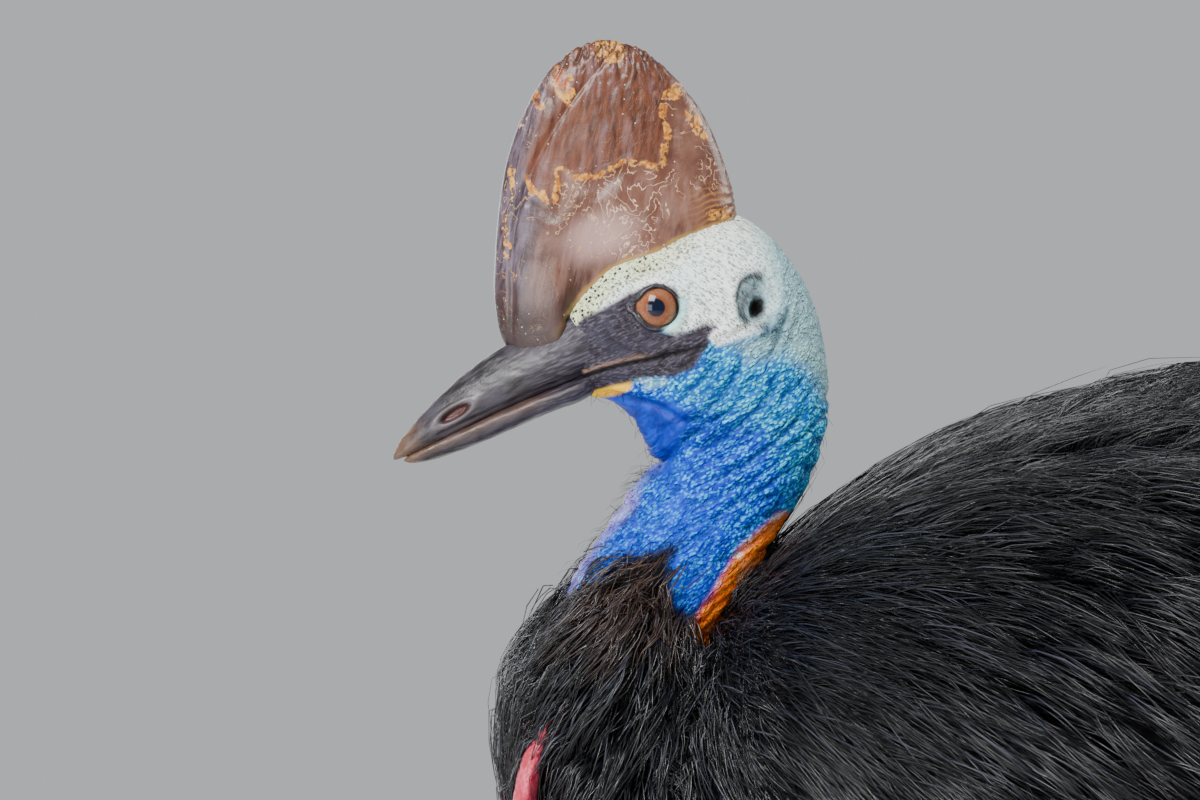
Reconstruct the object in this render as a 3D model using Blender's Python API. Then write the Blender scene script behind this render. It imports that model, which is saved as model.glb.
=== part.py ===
# A southern cassowary standing with its neck drawn back, as a still life-size model.
# The bird faces -Y, +Z is up, and the origin is on the floor under the middle of its length.
# Side views are laid out in millimetres behind and above the eye, which side() turns into metres.
# Sizes that end up in the model as they stand are in metres; rows and side-view places are in millimetres.

import math
import random

import bmesh
import bpy
from mathutils import Matrix, Vector
from mathutils.bvhtree import BVHTree
from mathutils.kdtree import KDTree

MM = 0.001
GAP = 0.0003
CUT_GAP = 0.00045
CORNER_LIMIT = 0.005
SPECK = 0.000002
DRAW_APART = 0.00003
SHARP_ANGLE = math.radians(40)
EYE_HEIGHT = 1.030
EYE_Y = -0.347
BACK = Vector((0, 1, 0))
DOWN = Vector((0, 0, -1))
LEFT = Vector((1, 0, 0))

# The head. Each row is (dorsal behind, dorsal above, ventral behind, ventral above, half width, fullness).
# Fullness above 0 makes the ring wider towards its dorsal end.
HEAD_ROWS = (
    (-48.0, -2.0, -34.0, -46.0, 17.5, 0.10),
    (-33.0, 18.0, -22.0, -47.5, 22.5, 0.14),
    (-11.0, 35.0, -13.0, -54.0, 27.5, 0.25),
    (14.0, 46.0, -8.0, -60.0, 32.0, 0.32),
    (40.0, 47.0, -5.0, -66.0, 35.0, 0.32),
    (61.0, 33.0, -3.0, -71.0, 36.0, 0.28),
    (77.0, 11.0, -1.0, -75.0, 35.0, 0.20),
    (85.5, -14.0, 0.5, -77.0, 33.5, 0.12),
    (88.0, -40.0, 2.0, -78.0, 32.5, 0.08),
)
NECK_ROWS = (
    (88.0, -40.0, 2.0, -78.0, 32.5, 0.08),
    (87.5, -62.0, 0.0, -80.5, 32.0, 0.06),
    (80.5, -84.0, -4.5, -85.0, 31.5, 0.04),
    (69.5, -104.0, -10.5, -92.0, 31.0, 0.00),
    (57.0, -124.0, -19.0, -105.0, 31.0, 0.00),
    (44.5, -145.0, -30.0, -122.0, 32.0, 0.00),
    (31.0, -164.0, -41.0, -137.0, 34.0, 0.00),
)
# The feathered lower neck, without its coat.
LOWER_NECK_ROWS = (
    (31.0, -164.0, -41.0, -137.0, 34.0, 0.00),
    (27.0, -184.0, -47.0, -160.0, 36.0, 0.00),
    (26.0, -208.0, -50.0, -196.0, 39.0, 0.00),
    (36.0, -232.0, -49.0, -238.0, 44.0, 0.00),
    (62.0, -250.0, -38.0, -288.0, 52.0, 0.00),
    (105.0, -262.0, -6.0, -340.0, 62.0, 0.00),
    (160.0, -270.0, 52.0, -385.0, 68.0, 0.00),
)
RING_SIDES = 16
NECK_STEPS = 2
HEAD_STEPS = 2
SLAB_REACH = 0.04
SLAB_DEPTH = 20

# The shaggy coat: a core under flat locks, which rise from it to the outline of the plumage.
# A lock's shape: (share of its length, share of its width, share of its rise, ridge in millimetres).
LOCK_ROWS = (
    (0.00, 0.60, -0.55, 6.0),
    (0.40, 1.00, 0.36, 5.0),
    (0.78, 0.66, 0.82, 3.5),
)
LOCK_TIP = (1.00, 0.00, 1.00, 0.0)
LOCK_LENGTHS = (0.82, 1.15)
LOCK_WIDTHS = (0.85, 1.15)
LOCK_RISES = (0.80, 1.00)
LOCK_TURN = math.radians(8)
GOLDEN_TURN = math.pi * (3 - math.sqrt(5))
NECK_BASE = (12.0, -125.0)
PARTING_REACH = 0.05
COAT_FALL = 0.8
LEG_COAT_BACK = 0.25
# For each node: (seed, locks, length, half width, rise of the tips above the core), the sizes in millimetres.
TORSO_LOCKS = (18, 94, 190.0, 31.5, 26.0)
CHEST_LOCKS = (31, 26, 105.0, 19.0, 17.0)
TAIL_LOCKS = (21, 15, 175.0, 27.0, 22.0)
LEFT_THIGH_LOCKS = (22, 11, 110.0, 26.0, 14.0)
RIGHT_THIGH_LOCKS = (23, 11, 110.0, 26.0, 14.0)
TORSO_CORE_INSET = 28.0
BURIED = 0.001
CHEST_LOCKS_FROM = (-8.0, -158.0)
CHEST_LOCKS_TO = (40.0, -330.0)
TAIL_LOCK_REACH = 0.12
TAIL_FALL = 0.5
TAIL_FALL_RUN = 0.05
THIGH_LOCK_FROM = 0.46
THIGH_LOCK_SPAN = 0.10
CHEST_CORE_START = (-5.0, -150.0)
CHEST_CORE_RUN = 0.06
CHEST_CORE_DEPTH = 0.010
CHEST_CORE_BARE = 0.45

# The bill: the same rows, from the head out to the tip.
UPPER_BILL_ROWS = (
    (-48.5, -2.0, -36.0, -38.0, 18.0, -0.25),
    (-62.0, -12.5, -48.0, -42.0, 16.0, -0.30),
    (-78.0, -21.5, -66.0, -49.5, 13.5, -0.35),
    (-93.0, -32.5, -84.0, -57.5, 11.0, -0.35),
    (-107.0, -45.0, -101.0, -65.5, 9.0, -0.30),
    (-119.0, -57.5, -114.5, -71.5, 7.0, -0.25),
    (-126.5, -67.0, -124.0, -75.5, 4.5, -0.15),
)
UPPER_BILL_TIP = (-130.5, -77.5)
UPPER_BILL_POWER = 1.9
UPPER_BILL_SIDES = 14
LOWER_BILL_ROWS = (
    (-35.5, -38.8, -34.0, -46.0, 16.0, 0.10),
    (-48.5, -43.0, -48.0, -50.5, 14.0, 0.10),
    (-67.0, -50.5, -66.0, -58.5, 11.5, 0.10),
    (-85.0, -58.6, -84.5, -66.5, 9.0, 0.10),
    (-102.0, -66.6, -101.5, -73.0, 7.0, 0.10),
    (-115.0, -72.4, -114.5, -77.5, 5.0, 0.10),
)
LOWER_BILL_TIP = (-125.5, -77.6)
LOWER_BILL_POWER = 2.2
LOWER_BILL_SIDES = 12
NOSTRIL_AT = (-101.0, -53.5)
NOSTRIL_OUT = 8.0
NOSTRIL_SIZE = (2.4, 7.0, 3.0)
NOSTRIL_TILT = math.radians(32)

# The casque, in rows from base to crest: (front behind, front above, rear behind, rear above, half width).
CASQUE_ROWS = (
    (-70.0, -36.0, 46.0, 30.0, 23.0),
    (-79.0, -8.0, 42.0, 47.0, 24.0),
    (-79.5, 22.0, 39.5, 61.0, 21.0),
    (-77.0, 52.0, 34.0, 78.0, 17.5),
    (-71.0, 80.0, 25.0, 97.0, 14.0),
    (-61.0, 102.0, 12.0, 113.0, 11.0),
    (-46.0, 119.0, -4.0, 125.0, 7.5),
)
CASQUE_CREST = (-24.0, 133.5)
CASQUE_FULLNESS = -0.12
CASQUE_SIDES = 14

# The eyes, lids, ears and the corner of the mouth.
EYE_OUT = 19.5
EYE_RADIUS = 14.2
EYE_SEGMENTS = 14
EYE_RINGS = 8
EYE_FORWARD = math.radians(14)
LID_REACH = 10.0
LID_RADIUS = 11.0
LID_THICKNESS = 2.6
LID_SEGMENTS = 14
LID_SIDES = 5
EAR_AT = (49.0, 1.0)
EAR_OUT = 40.0
EAR_CUP = (7.0, 12.0, 15.0)
EAR_HOLE_AT = (51.0, -2.0)
EAR_HOLE_OUT = 34.0
EAR_HOLE = (14.0, 4.0, 6.0)
GAPE_CORNER = (20.0, -19.5)
GAPE_FRONT = (-40.0, -39.0)
GAPE_HEIGHT = 1.1
GAPE_SAG = 2.5
GAPE_OUTER = 40.0
GAPE_INNER = (17.0, 30.5)
GAPE_STATIONS = (0.0, 0.35, 0.7, 1.0)
GAPE_TAPER = 0.6
GAPE_CURVE = 0.8

# The wattles hang from the front of the neck over the chest.
WATTLE_PATH = (
    (-30.0, -128.0), (-48.0, -138.0), (-66.0, -160.0), (-80.0, -190.0),
    (-87.0, -222.0), (-86.0, -258.0), (-81.0, -296.0),
)
WATTLE_OUT = (9.0, 12.0, 16.0, 20.0, 23.0, 26.0, 28.0)
WATTLE_WIDTHS = (7.0, 9.0, 11.0, 13.0, 14.5, 15.0, 9.0)
WATTLE_DEPTHS = (5.5, 5.5, 5.0, 5.0, 5.5, 6.0, 3.5)
WATTLE_SIDES = 10
WATTLE_FOLDS = 3
WATTLE_FOLD_DEPTH = 0.22
WATTLE_FOLD_DRIFT = 0.5
WATTLE_END = 6.0

# The body is a full egg, drooping towards the rump.
BODY_CENTRE = (392.0, -272.0)
BODY_LENGTH = 388.0
BODY_HEIGHT = 250.0
BODY_WIDTH = 232.0
BODY_POWER = 2.4
BODY_DROOP = 70.0
BODY_CHEST_NARROWING = 0.26
BODY_RUMP_NARROWING = 0.16
BODY_SEGMENTS = 16
BODY_RINGS = 10

# The tail: a drooping tuft on the rump.
TAIL_CENTRE = (735.0, -365.0)
TAIL_SIZE = (100.0, 58.0, 140.0)
TAIL_TILT = math.radians(18)

# The wing: a short arm with five bare quills.
WING_CENTRE = (262.0, -262.0)
WING_SIZE = (24.0, 60.0, 22.0)
WING_OUT = 206.0
WING_TILT = math.radians(-25)
QUILLS = 5
QUILL_LENGTH = 0.25
QUILL_RADIUS = 0.0026
QUILL_STEPS = 6
QUILL_SIDES = 5
QUILL_TAPER = 0.75
QUILL_SHORTEST = 0.8
QUILL_ROOT_LIFT = -0.012
QUILL_LIFT = 0.030
QUILL_RISE_SHARE = 0.5
QUILL_DROP = 0.10
# From the foremost quill to the rearmost: places behind and above the wing's centre, and ways back and down.
QUILL_ROOTS = ((20.0, -22.0), (50.0, -6.0))
QUILL_WAYS = ((0.35, 1.15), (1.10, 0.80))

# The legs, by height above the floor: (height, behind the ball of the foot, half length, half width).
LEG_OUT = 0.114
BALL_BEHIND = 398.0
THIGH_ROWS = (
    (0.660, -28.0, 92.0, 62.0),
    (0.590, -14.0, 88.0, 60.0),
    (0.520, 5.0, 76.0, 54.0),
    (0.465, 25.0, 56.0, 44.0),
    (0.425, 41.0, 37.0, 33.0),
    (0.405, 48.0, 29.0, 27.0),
)
SHANK_ROWS = (
    (0.4045, 48.0, 29.0, 27.0),
    (0.385, 52.0, 31.0, 28.0),
    (0.360, 53.0, 30.0, 27.0),
    (0.330, 48.0, 24.0, 22.0),
    (0.290, 41.0, 20.0, 17.5),
    (0.200, 27.0, 19.0, 16.5),
    (0.110, 13.0, 20.0, 17.5),
    (0.075, 7.0, 24.0, 21.0),
    (0.045, 2.0, 31.0, 28.0),
    (0.020, 0.0, 33.0, 31.0),
    (0.000, 0.0, 28.0, 27.0),
)
SHANK_SIDES = 10
SCUTES_ON_SHANK = 12
SCUTE_TOP = 0.330
SCUTE_BOTTOM = 0.075
SCUTE_SHARE = 0.82
SCUTE_RISE = 0.0016
SCUTE_WRAP = 0.5

# Toes: (name, angle outwards, start outwards, length, root and tip half width, claw length, claw radius).
TOES = (
    ("middle", math.radians(2), 0.000, 0.158, 0.0190, 0.0135, 0.044, 0.0110),
    ("inner", math.radians(-23), -0.014, 0.096, 0.0165, 0.0125, 0.094, 0.0105),
    ("outer", math.radians(33), 0.014, 0.112, 0.0165, 0.0115, 0.032, 0.0095),
)
TOE_START = 0.018
TOE_SIDES = 8
TOE_RINGS = 8
TOE_BUMPS = 3
TOE_BUMP = 0.07
TOE_PLATE = 0.0012
TOE_PLATE_EDGE = 0.4
TOE_FLATNESS = 0.92
TOE_SINK = 0.0006
CLAW_SIDES = 6
CLAW_RINGS = 4
CLAW_CLEARANCE = 0.0015
CLAW_ARCH = 0.002
CLAW_NARROWNESS = 0.82
CLAW_TAPER = 0.75


def side(behind, above, out=0.0):
    """A point by millimetres behind the eye, above it and out to the bird's left."""
    return Vector((out * MM, EYE_Y + behind * MM, EYE_HEIGHT + above * MM))


def clear_scene():
    for thing in list(bpy.data.objects):
        bpy.data.objects.remove(thing)


def make_material(name, colour, roughness):
    material = bpy.data.materials.new(name)
    material.use_nodes = True
    shader = material.node_tree.nodes["Principled BSDF"]
    shader.inputs["Base Color"].default_value = (*colour, 1)
    shader.inputs["Roughness"].default_value = roughness
    return material


def new_piece(name, mesh):
    """A loose object, not yet in the bird's collection."""
    piece = bpy.data.objects.new(name, mesh)
    bpy.context.scene.collection.objects.link(piece)
    return piece


def move_to(piece, collection):
    for owner in piece.users_collection:
        owner.objects.unlink(piece)
    collection.objects.link(piece)


def add_part(piece, collection, material):
    move_to(piece, collection)
    piece.data.materials.clear()
    piece.data.materials.append(material)
    piece.data.shade_smooth()
    piece.data.set_sharp_from_angle(angle=SHARP_ANGLE)
    return piece


def curve_point(t, a, b, c, d):
    """The smooth curve through a, b, c and d, read between b and c."""
    return 0.5 * (2 * b + (c - a) * t + (2 * a - 5 * b + 4 * c - d) * t * t + (3 * b - a - 3 * c + d) * t ** 3)


def refined(rows, steps):
    """The rows with a smooth curve read between them, steps times as many."""
    last = len(rows) - 1
    fine = []
    for k in range(last * steps + 1):
        i = min(k // steps, last - 1)
        t = k / steps - i
        before, here, there, after = (rows[max(0, min(last, i + j))] for j in (-1, 0, 1, 2))
        fine.append(tuple(curve_point(t, *values) for values in zip(before, here, there, after)))
    return fine


def rounded(value, power):
    return math.copysign(abs(value) ** (2 / power), value)


def span_ring(dorsal, ventral, half_width, fullness=0.0, power=2.0, sides=RING_SIDES):
    """A ring in the plane of the bird's side-to-side axis and the line between two points."""
    centre = (dorsal + ventral) / 2
    arm = (dorsal - ventral) / 2
    points = []
    for k in range(sides):
        turn = 2 * math.pi * k / sides
        along = rounded(math.cos(turn), power)
        across = rounded(math.sin(turn), power)
        points.append(centre + arm * along + LEFT * (half_width * across * (1 + fullness * along)))
    return points


def row_rings(rows, steps, power=2.0, sides=RING_SIDES):
    """Rings from rows of millimetres."""
    rings = []
    for behind_d, above_d, behind_v, above_v, half_width, fullness in refined(rows, steps):
        dorsal, ventral = side(behind_d, above_d), side(behind_v, above_v)
        rings.append(span_ring(dorsal, ventral, half_width * MM, fullness, power, sides))
    return rings


def loft(name, rings):
    """One closed skin of triangles over the rings. A ring of one point is a tip."""
    shape = bmesh.new()
    loops = [[shape.verts.new(point) for point in ring] for ring in rings]
    for a, b in zip(loops, loops[1:]):
        sides = max(len(a), len(b))
        for k in range(sides):
            j = (k + 1) % sides
            if len(b) == 1:
                shape.faces.new((a[k], a[j], b[0]))
            elif len(a) == 1:
                shape.faces.new((a[0], b[j], b[k]))
            else:
                shape.faces.new((a[k], a[j], b[j], b[k]))
    for end in (loops[0], loops[-1]):
        if len(end) > 1:
            shape.faces.new(end)
    bmesh.ops.recalc_face_normals(shape, faces=shape.faces)
    bmesh.ops.triangulate(shape, faces=shape.faces)
    mesh = bpy.data.meshes.new(name)
    shape.to_mesh(mesh)
    shape.free()
    return new_piece(name, mesh)


def ball(name, centre, size, tilt=0.0, segments=16, rings=10):
    """An ellipsoid, its half sizes along X, Y and Z in millimetres, tilted about X."""
    bpy.ops.mesh.primitive_uv_sphere_add(segments=segments, ring_count=rings, radius=1, location=(0, 0, 0))
    piece = bpy.context.object
    piece.name = name
    turn = Matrix.Rotation(tilt, 3, "X")
    for vertex in piece.data.vertices:
        vertex.co = centre + turn @ Vector([value * half * MM for value, half in zip(vertex.co, size)])
    return piece


def in_order(mesh):
    """The same mesh with its faces in a fixed order. A Boolean may give them in another each time."""
    faces = []
    for face in mesh.polygons:
        corners = list(face.vertices)
        first = corners.index(min(corners))
        faces.append(corners[first:] + corners[:first])
    ordered = bpy.data.meshes.new(mesh.name)
    ordered.from_pydata([vertex.co for vertex in mesh.vertices], [], sorted(faces))
    return ordered


def combine(target, operation, pieces):
    """One Boolean of the target with all the pieces, which are then removed."""
    group = bpy.data.collections.new("pieces")
    bpy.context.scene.collection.children.link(group)
    for piece in pieces:
        move_to(piece, group)
    modifier = target.modifiers.new("combine", "BOOLEAN")
    modifier.operation = operation
    modifier.operand_type = "COLLECTION"
    modifier.collection = group
    modifier.solver = "MANIFOLD"
    graph = bpy.context.evaluated_depsgraph_get()
    mesh = bpy.data.meshes.new_from_object(target.evaluated_get(graph))
    target.modifiers.clear()
    target.data = in_order(mesh)
    for piece in pieces:
        bpy.data.objects.remove(piece)
    bpy.data.collections.remove(group)
    keep_largest(target)
    return target


def part_touching(shape):
    """Closes the specks that a Boolean leaves, and draws apart points where two sheets of a surface touch."""
    specks = []
    for edge in shape.edges:
        if edge.calc_length() < SPECK:
            ends = [{link.other_vert(end) for link in end.link_edges} for end in edge.verts]
            if len(ends[0] & ends[1]) == 2:
                specks.append(edge)
    bmesh.ops.collapse(shape, edges=specks)
    bmesh.ops.triangulate(shape, faces=shape.faces)
    points = KDTree(len(shape.verts))
    for k, vertex in enumerate(shape.verts):
        points.insert(vertex.co, k)
    points.balance()
    shape.verts.ensure_lookup_table()
    moves = {}
    for vertex in shape.verts:
        linked = [link.other_vert(vertex) for link in vertex.link_edges]
        near = [shape.verts[k] for _, k, _ in points.find_range(vertex.co, SPECK)]
        if any(other != vertex and other not in linked for other in near):
            mean = sum((other.co for other in linked), Vector()) / len(linked)
            moves[vertex] = vertex.co + (mean - vertex.co).normalized() * DRAW_APART
    for vertex, place in moves.items():
        vertex.co = place


def keep_largest(target):
    """Keeps only the closed surface that holds the most volume."""
    shape = bmesh.new()
    shape.from_mesh(target.data)
    part_touching(shape)
    unseen = set(shape.faces)
    islands = []
    while unseen:
        island = {unseen.pop()}
        front = list(island)
        while front:
            for edge in front.pop().edges:
                fresh = [face for face in edge.link_faces if face in unseen]
                unseen.difference_update(fresh)
                island.update(fresh)
                front.extend(fresh)
        islands.append(island)

    def volume(island):
        corners = ([vertex.co for vertex in face.verts] for face in island)
        return abs(sum(first.dot(second.cross(third)) for first, second, third in corners))

    best = max(islands, key=volume)
    bmesh.ops.delete(shape, geom=[face for face in shape.faces if face not in best], context="FACES")
    shape.to_mesh(target.data)
    shape.free()


def grown(piece):
    """A copy with every face CUT_GAP further out, to cut a neighbour clear."""
    mesh = piece.data.copy()
    shape = bmesh.new()
    shape.from_mesh(mesh)
    moves = []
    for vertex in shape.verts:
        faced = Matrix.Identity(3) * CORNER_LIMIT
        total = Vector()
        for face in vertex.link_faces:
            faced += Matrix([face.normal * part for part in face.normal])
            total += face.normal
        moves.append(faced.inverted() @ total * CUT_GAP)
    for vertex, move in zip(shape.verts, moves):
        vertex.co += move
    shape.to_mesh(mesh)
    shape.free()
    return new_piece(piece.name + "_grown", mesh)


def copy_of(piece):
    return new_piece(piece.name + "_copy", piece.data.copy())


def fuse(core, pieces):
    """Joins pieces to a core. Gives back a cutter for each, grown while its shape is still a simple one."""
    cutters = [grown(piece) for piece in [core] + pieces]
    combine(core, "UNION", pieces)
    return cutters


def cut_clear(target, cutters):
    """Cuts the target with copies of its neighbours' cutters, which are kept for other cuts."""
    combine(target, "DIFFERENCE", [copy_of(cutter) for cutter in cutters])


def mirrored(piece, name):
    """The same shape on the bird's right."""
    mesh = piece.data.copy()
    for vertex in mesh.vertices:
        vertex.co.x = -vertex.co.x
    mesh.flip_normals()
    return new_piece(name, mesh)


def surface_of(piece):
    graph = bpy.context.evaluated_depsgraph_get()
    return BVHTree.FromObject(piece, graph)


def body_point(direction, inset=0.0):
    """The body's surface the way a unit vector points from its centre, inset millimetres inside it."""
    scale = sum(abs(part) ** BODY_POWER for part in direction) ** (-1 / BODY_POWER)
    across, along, up = (part * scale for part in direction)
    narrow = 1 - BODY_CHEST_NARROWING * max(0, -along) ** 2 - BODY_RUMP_NARROWING * max(0, along) ** 2
    droop = BODY_DROOP * max(0, along) ** 2
    return side(
        BODY_CENTRE[0] + along * (BODY_LENGTH - inset),
        BODY_CENTRE[1] + up * (BODY_HEIGHT - inset) - droop,
        across * (BODY_WIDTH - inset) * narrow,
    )


def make_body(name, inset):
    bpy.ops.mesh.primitive_uv_sphere_add(
        segments=BODY_SEGMENTS, ring_count=BODY_RINGS, radius=1, rotation=(math.radians(90), 0, 0)
    )
    piece = bpy.context.object
    piece.name = name
    turn = piece.matrix_world.copy()
    piece.rotation_euler = (0, 0, 0)
    for vertex in piece.data.vertices:
        vertex.co = body_point((turn @ vertex.co).normalized(), inset)
    shape = bmesh.new()
    shape.from_mesh(piece.data)
    bmesh.ops.triangulate(shape, faces=shape.faces)
    shape.to_mesh(piece.data)
    shape.free()
    return piece


def make_head():
    head = loft("head", row_rings(HEAD_ROWS, HEAD_STEPS))
    cuts = []
    lids = []
    for out in (1, -1):
        centre = side(0, 0, out * EYE_OUT)
        look = Vector((out * math.cos(EYE_FORWARD), -math.sin(EYE_FORWARD), 0))
        socket_size = (EYE_RADIUS + GAP / MM,) * 3
        lids.append(make_lid(centre, look))
        cuts.append(ball("socket", centre, socket_size, segments=EYE_SEGMENTS, rings=EYE_RINGS))
        cuts.append(ball("ear_cup", side(*EAR_AT, out * EAR_OUT), EAR_CUP, segments=10, rings=8))
        cuts.append(ball("ear_hole", side(*EAR_HOLE_AT, out * EAR_HOLE_OUT), EAR_HOLE, segments=8, rings=6))
        cuts.append(make_gape(out))
    combine(head, "UNION", lids)
    return combine(head, "DIFFERENCE", cuts)


def make_lid(centre, look):
    """A thick ring round the eye."""
    bpy.ops.mesh.primitive_torus_add(
        major_segments=LID_SEGMENTS, minor_segments=LID_SIDES, major_radius=LID_RADIUS * MM,
        minor_radius=LID_THICKNESS * MM, location=centre + look * LID_REACH * MM,
        rotation=look.to_track_quat("Z", "Y").to_euler(),
    )
    lid = bpy.context.object
    lid.data.transform(lid.matrix_world)
    lid.matrix_world.identity()
    return lid


def make_gape(out):
    """The line of the mouth behind the bill, as a thin wedge that cuts the cheek."""
    rings = []
    for t in GAPE_STATIONS:
        behind = GAPE_FRONT[0] + (GAPE_CORNER[0] - GAPE_FRONT[0]) * t
        above = GAPE_FRONT[1] + (GAPE_CORNER[1] - GAPE_FRONT[1]) * t - GAPE_SAG * math.sin(math.pi * t)
        half = GAPE_HEIGHT * (1 - GAPE_TAPER * t)
        inner = GAPE_INNER[0] + (GAPE_INNER[1] - GAPE_INNER[0]) * t ** GAPE_CURVE
        rings.append(
            [
                side(behind, above + half, out * GAPE_OUTER),
                side(behind, above - half, out * GAPE_OUTER),
                side(behind, above, out * inner),
            ]
        )
    return loft("gape", rings)


def plain_upper_bill(name):
    rings = row_rings(UPPER_BILL_ROWS, 1, UPPER_BILL_POWER, UPPER_BILL_SIDES)
    return loft(name, rings + [[side(*UPPER_BILL_TIP)]])


def make_bill():
    """The two halves of the bill, with a nostril slot on each side of the upper."""
    upper = plain_upper_bill("bill_upper")
    lower_rings = row_rings(LOWER_BILL_ROWS, 1, LOWER_BILL_POWER, LOWER_BILL_SIDES)
    lower = loft("bill_lower", lower_rings + [[side(*LOWER_BILL_TIP)]])
    combine(lower, "DIFFERENCE", [grown(upper)])
    nostrils = []
    for out in (1, -1):
        place = side(*NOSTRIL_AT, out * NOSTRIL_OUT)
        nostrils.append(ball("nostril", place, NOSTRIL_SIZE, NOSTRIL_TILT, segments=10, rings=6))
    combine(upper, "DIFFERENCE", nostrils)
    return upper, lower


def make_casque(cutters):
    rings = []
    for front_y, front_z, rear_y, rear_z, half_width in refined(CASQUE_ROWS, 2):
        front, rear = side(front_y, front_z), side(rear_y, rear_z)
        rings.append(span_ring(front, rear, half_width * MM, CASQUE_FULLNESS, sides=CASQUE_SIDES))
    casque = loft("casque", rings + [[side(*CASQUE_CREST)]])
    return combine(casque, "DIFFERENCE", cutters)


def make_wattle(out, name):
    """A lappet that hangs clear of the chest, folded lengthwise and round at its end."""
    rings = []
    stations = refined(tuple(zip(*zip(*WATTLE_PATH), WATTLE_OUT, WATTLE_WIDTHS, WATTLE_DEPTHS)), 2)
    for k, (behind, above, spread, wide, deep) in enumerate(stations):
        ahead = stations[min(k + 1, len(stations) - 1)]
        back = stations[max(k - 1, 0)]
        along = (side(*ahead[0:2]) - side(*back[0:2])).normalized()
        front = along.cross(LEFT).normalized()
        centre = side(behind, above, out * spread)
        ring = []
        for j in range(WATTLE_SIDES):
            turn = 2 * math.pi * j / WATTLE_SIDES
            fold = 1 + WATTLE_FOLD_DEPTH * math.cos(WATTLE_FOLDS * turn + WATTLE_FOLD_DRIFT * k)
            across = LEFT * (out * wide * math.cos(turn))
            ring.append(centre + (across + front * (deep * fold * math.sin(turn))) * MM)
        rings.append(ring)
    last = side(WATTLE_PATH[-1][0], WATTLE_PATH[-1][1] - WATTLE_END, out * WATTLE_OUT[-1])
    return loft(name, rings + [[last]])


def make_wing(body_surface):
    """The left wing: a short arm let into the body, and quills that arch down over the flank."""
    arm = ball("wing_left", side(*WING_CENTRE, WING_OUT), WING_SIZE, tilt=WING_TILT, segments=12, rings=8)
    quills = [make_quill(k / (QUILLS - 1), body_surface) for k in range(QUILLS)]
    return arm, fuse(arm, quills)


def make_quill(spread, body_surface):
    """One bare quill. spread runs from 0, the foremost, to 1."""
    behind, above = (first + (last - first) * spread for first, last in zip(*QUILL_ROOTS))
    back, down = (first + (last - first) * spread for first, last in zip(*QUILL_WAYS))
    point = side(WING_CENTRE[0] + behind, WING_CENTRE[1] + above, WING_OUT)
    course = (BACK * back + DOWN * down).normalized()
    length = QUILL_LENGTH * (QUILL_SHORTEST + (1 - QUILL_SHORTEST) * math.sin(math.pi * spread))
    rings = []
    for j in range(QUILL_STEPS + 1):
        t = j / QUILL_STEPS
        near, normal, _, _ = body_surface.find_nearest(point)
        centre = near + normal * (QUILL_ROOT_LIFT + QUILL_LIFT * min(1, t / QUILL_RISE_SHARE))
        flat = (course - normal * course.dot(normal)).normalized()
        across = flat.cross(normal).normalized()
        radius = QUILL_RADIUS * (1 - QUILL_TAPER * t)
        turns = [2 * math.pi * i / QUILL_SIDES for i in range(QUILL_SIDES)]
        ring = [centre + (across * math.cos(a) + normal * math.sin(a)) * radius for a in turns]
        rings.append(ring if j < QUILL_STEPS else [centre])
        course = (course + DOWN * QUILL_DROP).normalized()
        point = near + flat * (length / QUILL_STEPS)
    return loft("quill", rings)


def upright_ring(height, behind, half_length, half_width, rise=0.0):
    """A level ring of the left leg. rise lifts its front, where the scutes are."""
    points = []
    for k in range(SHANK_SIDES):
        turn = 2 * math.pi * k / SHANK_SIDES
        lift = rise * max(0.0, math.cos(turn)) ** SCUTE_WRAP
        x = LEG_OUT + (half_width * MM + lift) * math.sin(turn)
        y = EYE_Y + (BALL_BEHIND + behind) * MM - (half_length * MM + lift) * math.cos(turn)
        points.append(Vector((x, y, height)))
    return points


def leg_centre(height):
    """The middle of the left thigh at a height."""
    for upper, lower in zip(THIGH_ROWS, THIGH_ROWS[1:]):
        if lower[0] <= height <= upper[0]:
            t = (upper[0] - height) / (upper[0] - lower[0])
            return Vector((LEG_OUT, EYE_Y + (BALL_BEHIND + upper[1] + (lower[1] - upper[1]) * t) * MM, height))
    return None


def loft_thigh():
    return loft("thigh_left", [upright_ring(*row) for row in refined(THIGH_ROWS, 2)])


def shank_at(height):
    """The shank's row at a height between two of its own."""
    for upper, lower in zip(SHANK_ROWS, SHANK_ROWS[1:]):
        if lower[0] <= height <= upper[0]:
            t = (upper[0] - height) / (upper[0] - lower[0])
            return tuple(a + (b - a) * t for a, b in zip(upper, lower))
    return SHANK_ROWS[-1]


def make_shank():
    """The bare leg below the heel, with a column of scutes down its front."""
    rings = [upright_ring(*row) for row in SHANK_ROWS if row[0] > SCUTE_TOP]
    step = (SCUTE_TOP - SCUTE_BOTTOM) / SCUTES_ON_SHANK
    for k in range(SCUTES_ON_SHANK):
        top = SCUTE_TOP - k * step
        rings.append(upright_ring(*shank_at(top)))
        rings.append(upright_ring(*shank_at(top - step * SCUTE_SHARE), rise=SCUTE_RISE))
    rings += [upright_ring(*row) for row in SHANK_ROWS if row[0] < SCUTE_BOTTOM]
    return loft("shank_left", rings)


def toe_frame(angle, shift):
    """Where a toe starts, the way it points and the way across it."""
    forward = Vector((math.sin(angle), -math.cos(angle), 0))
    across = Vector((math.cos(angle), math.sin(angle), 0))
    start = Vector((LEG_OUT + shift, EYE_Y + BALL_BEHIND * MM, 0)) + forward * TOE_START
    return start, forward, across


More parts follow.
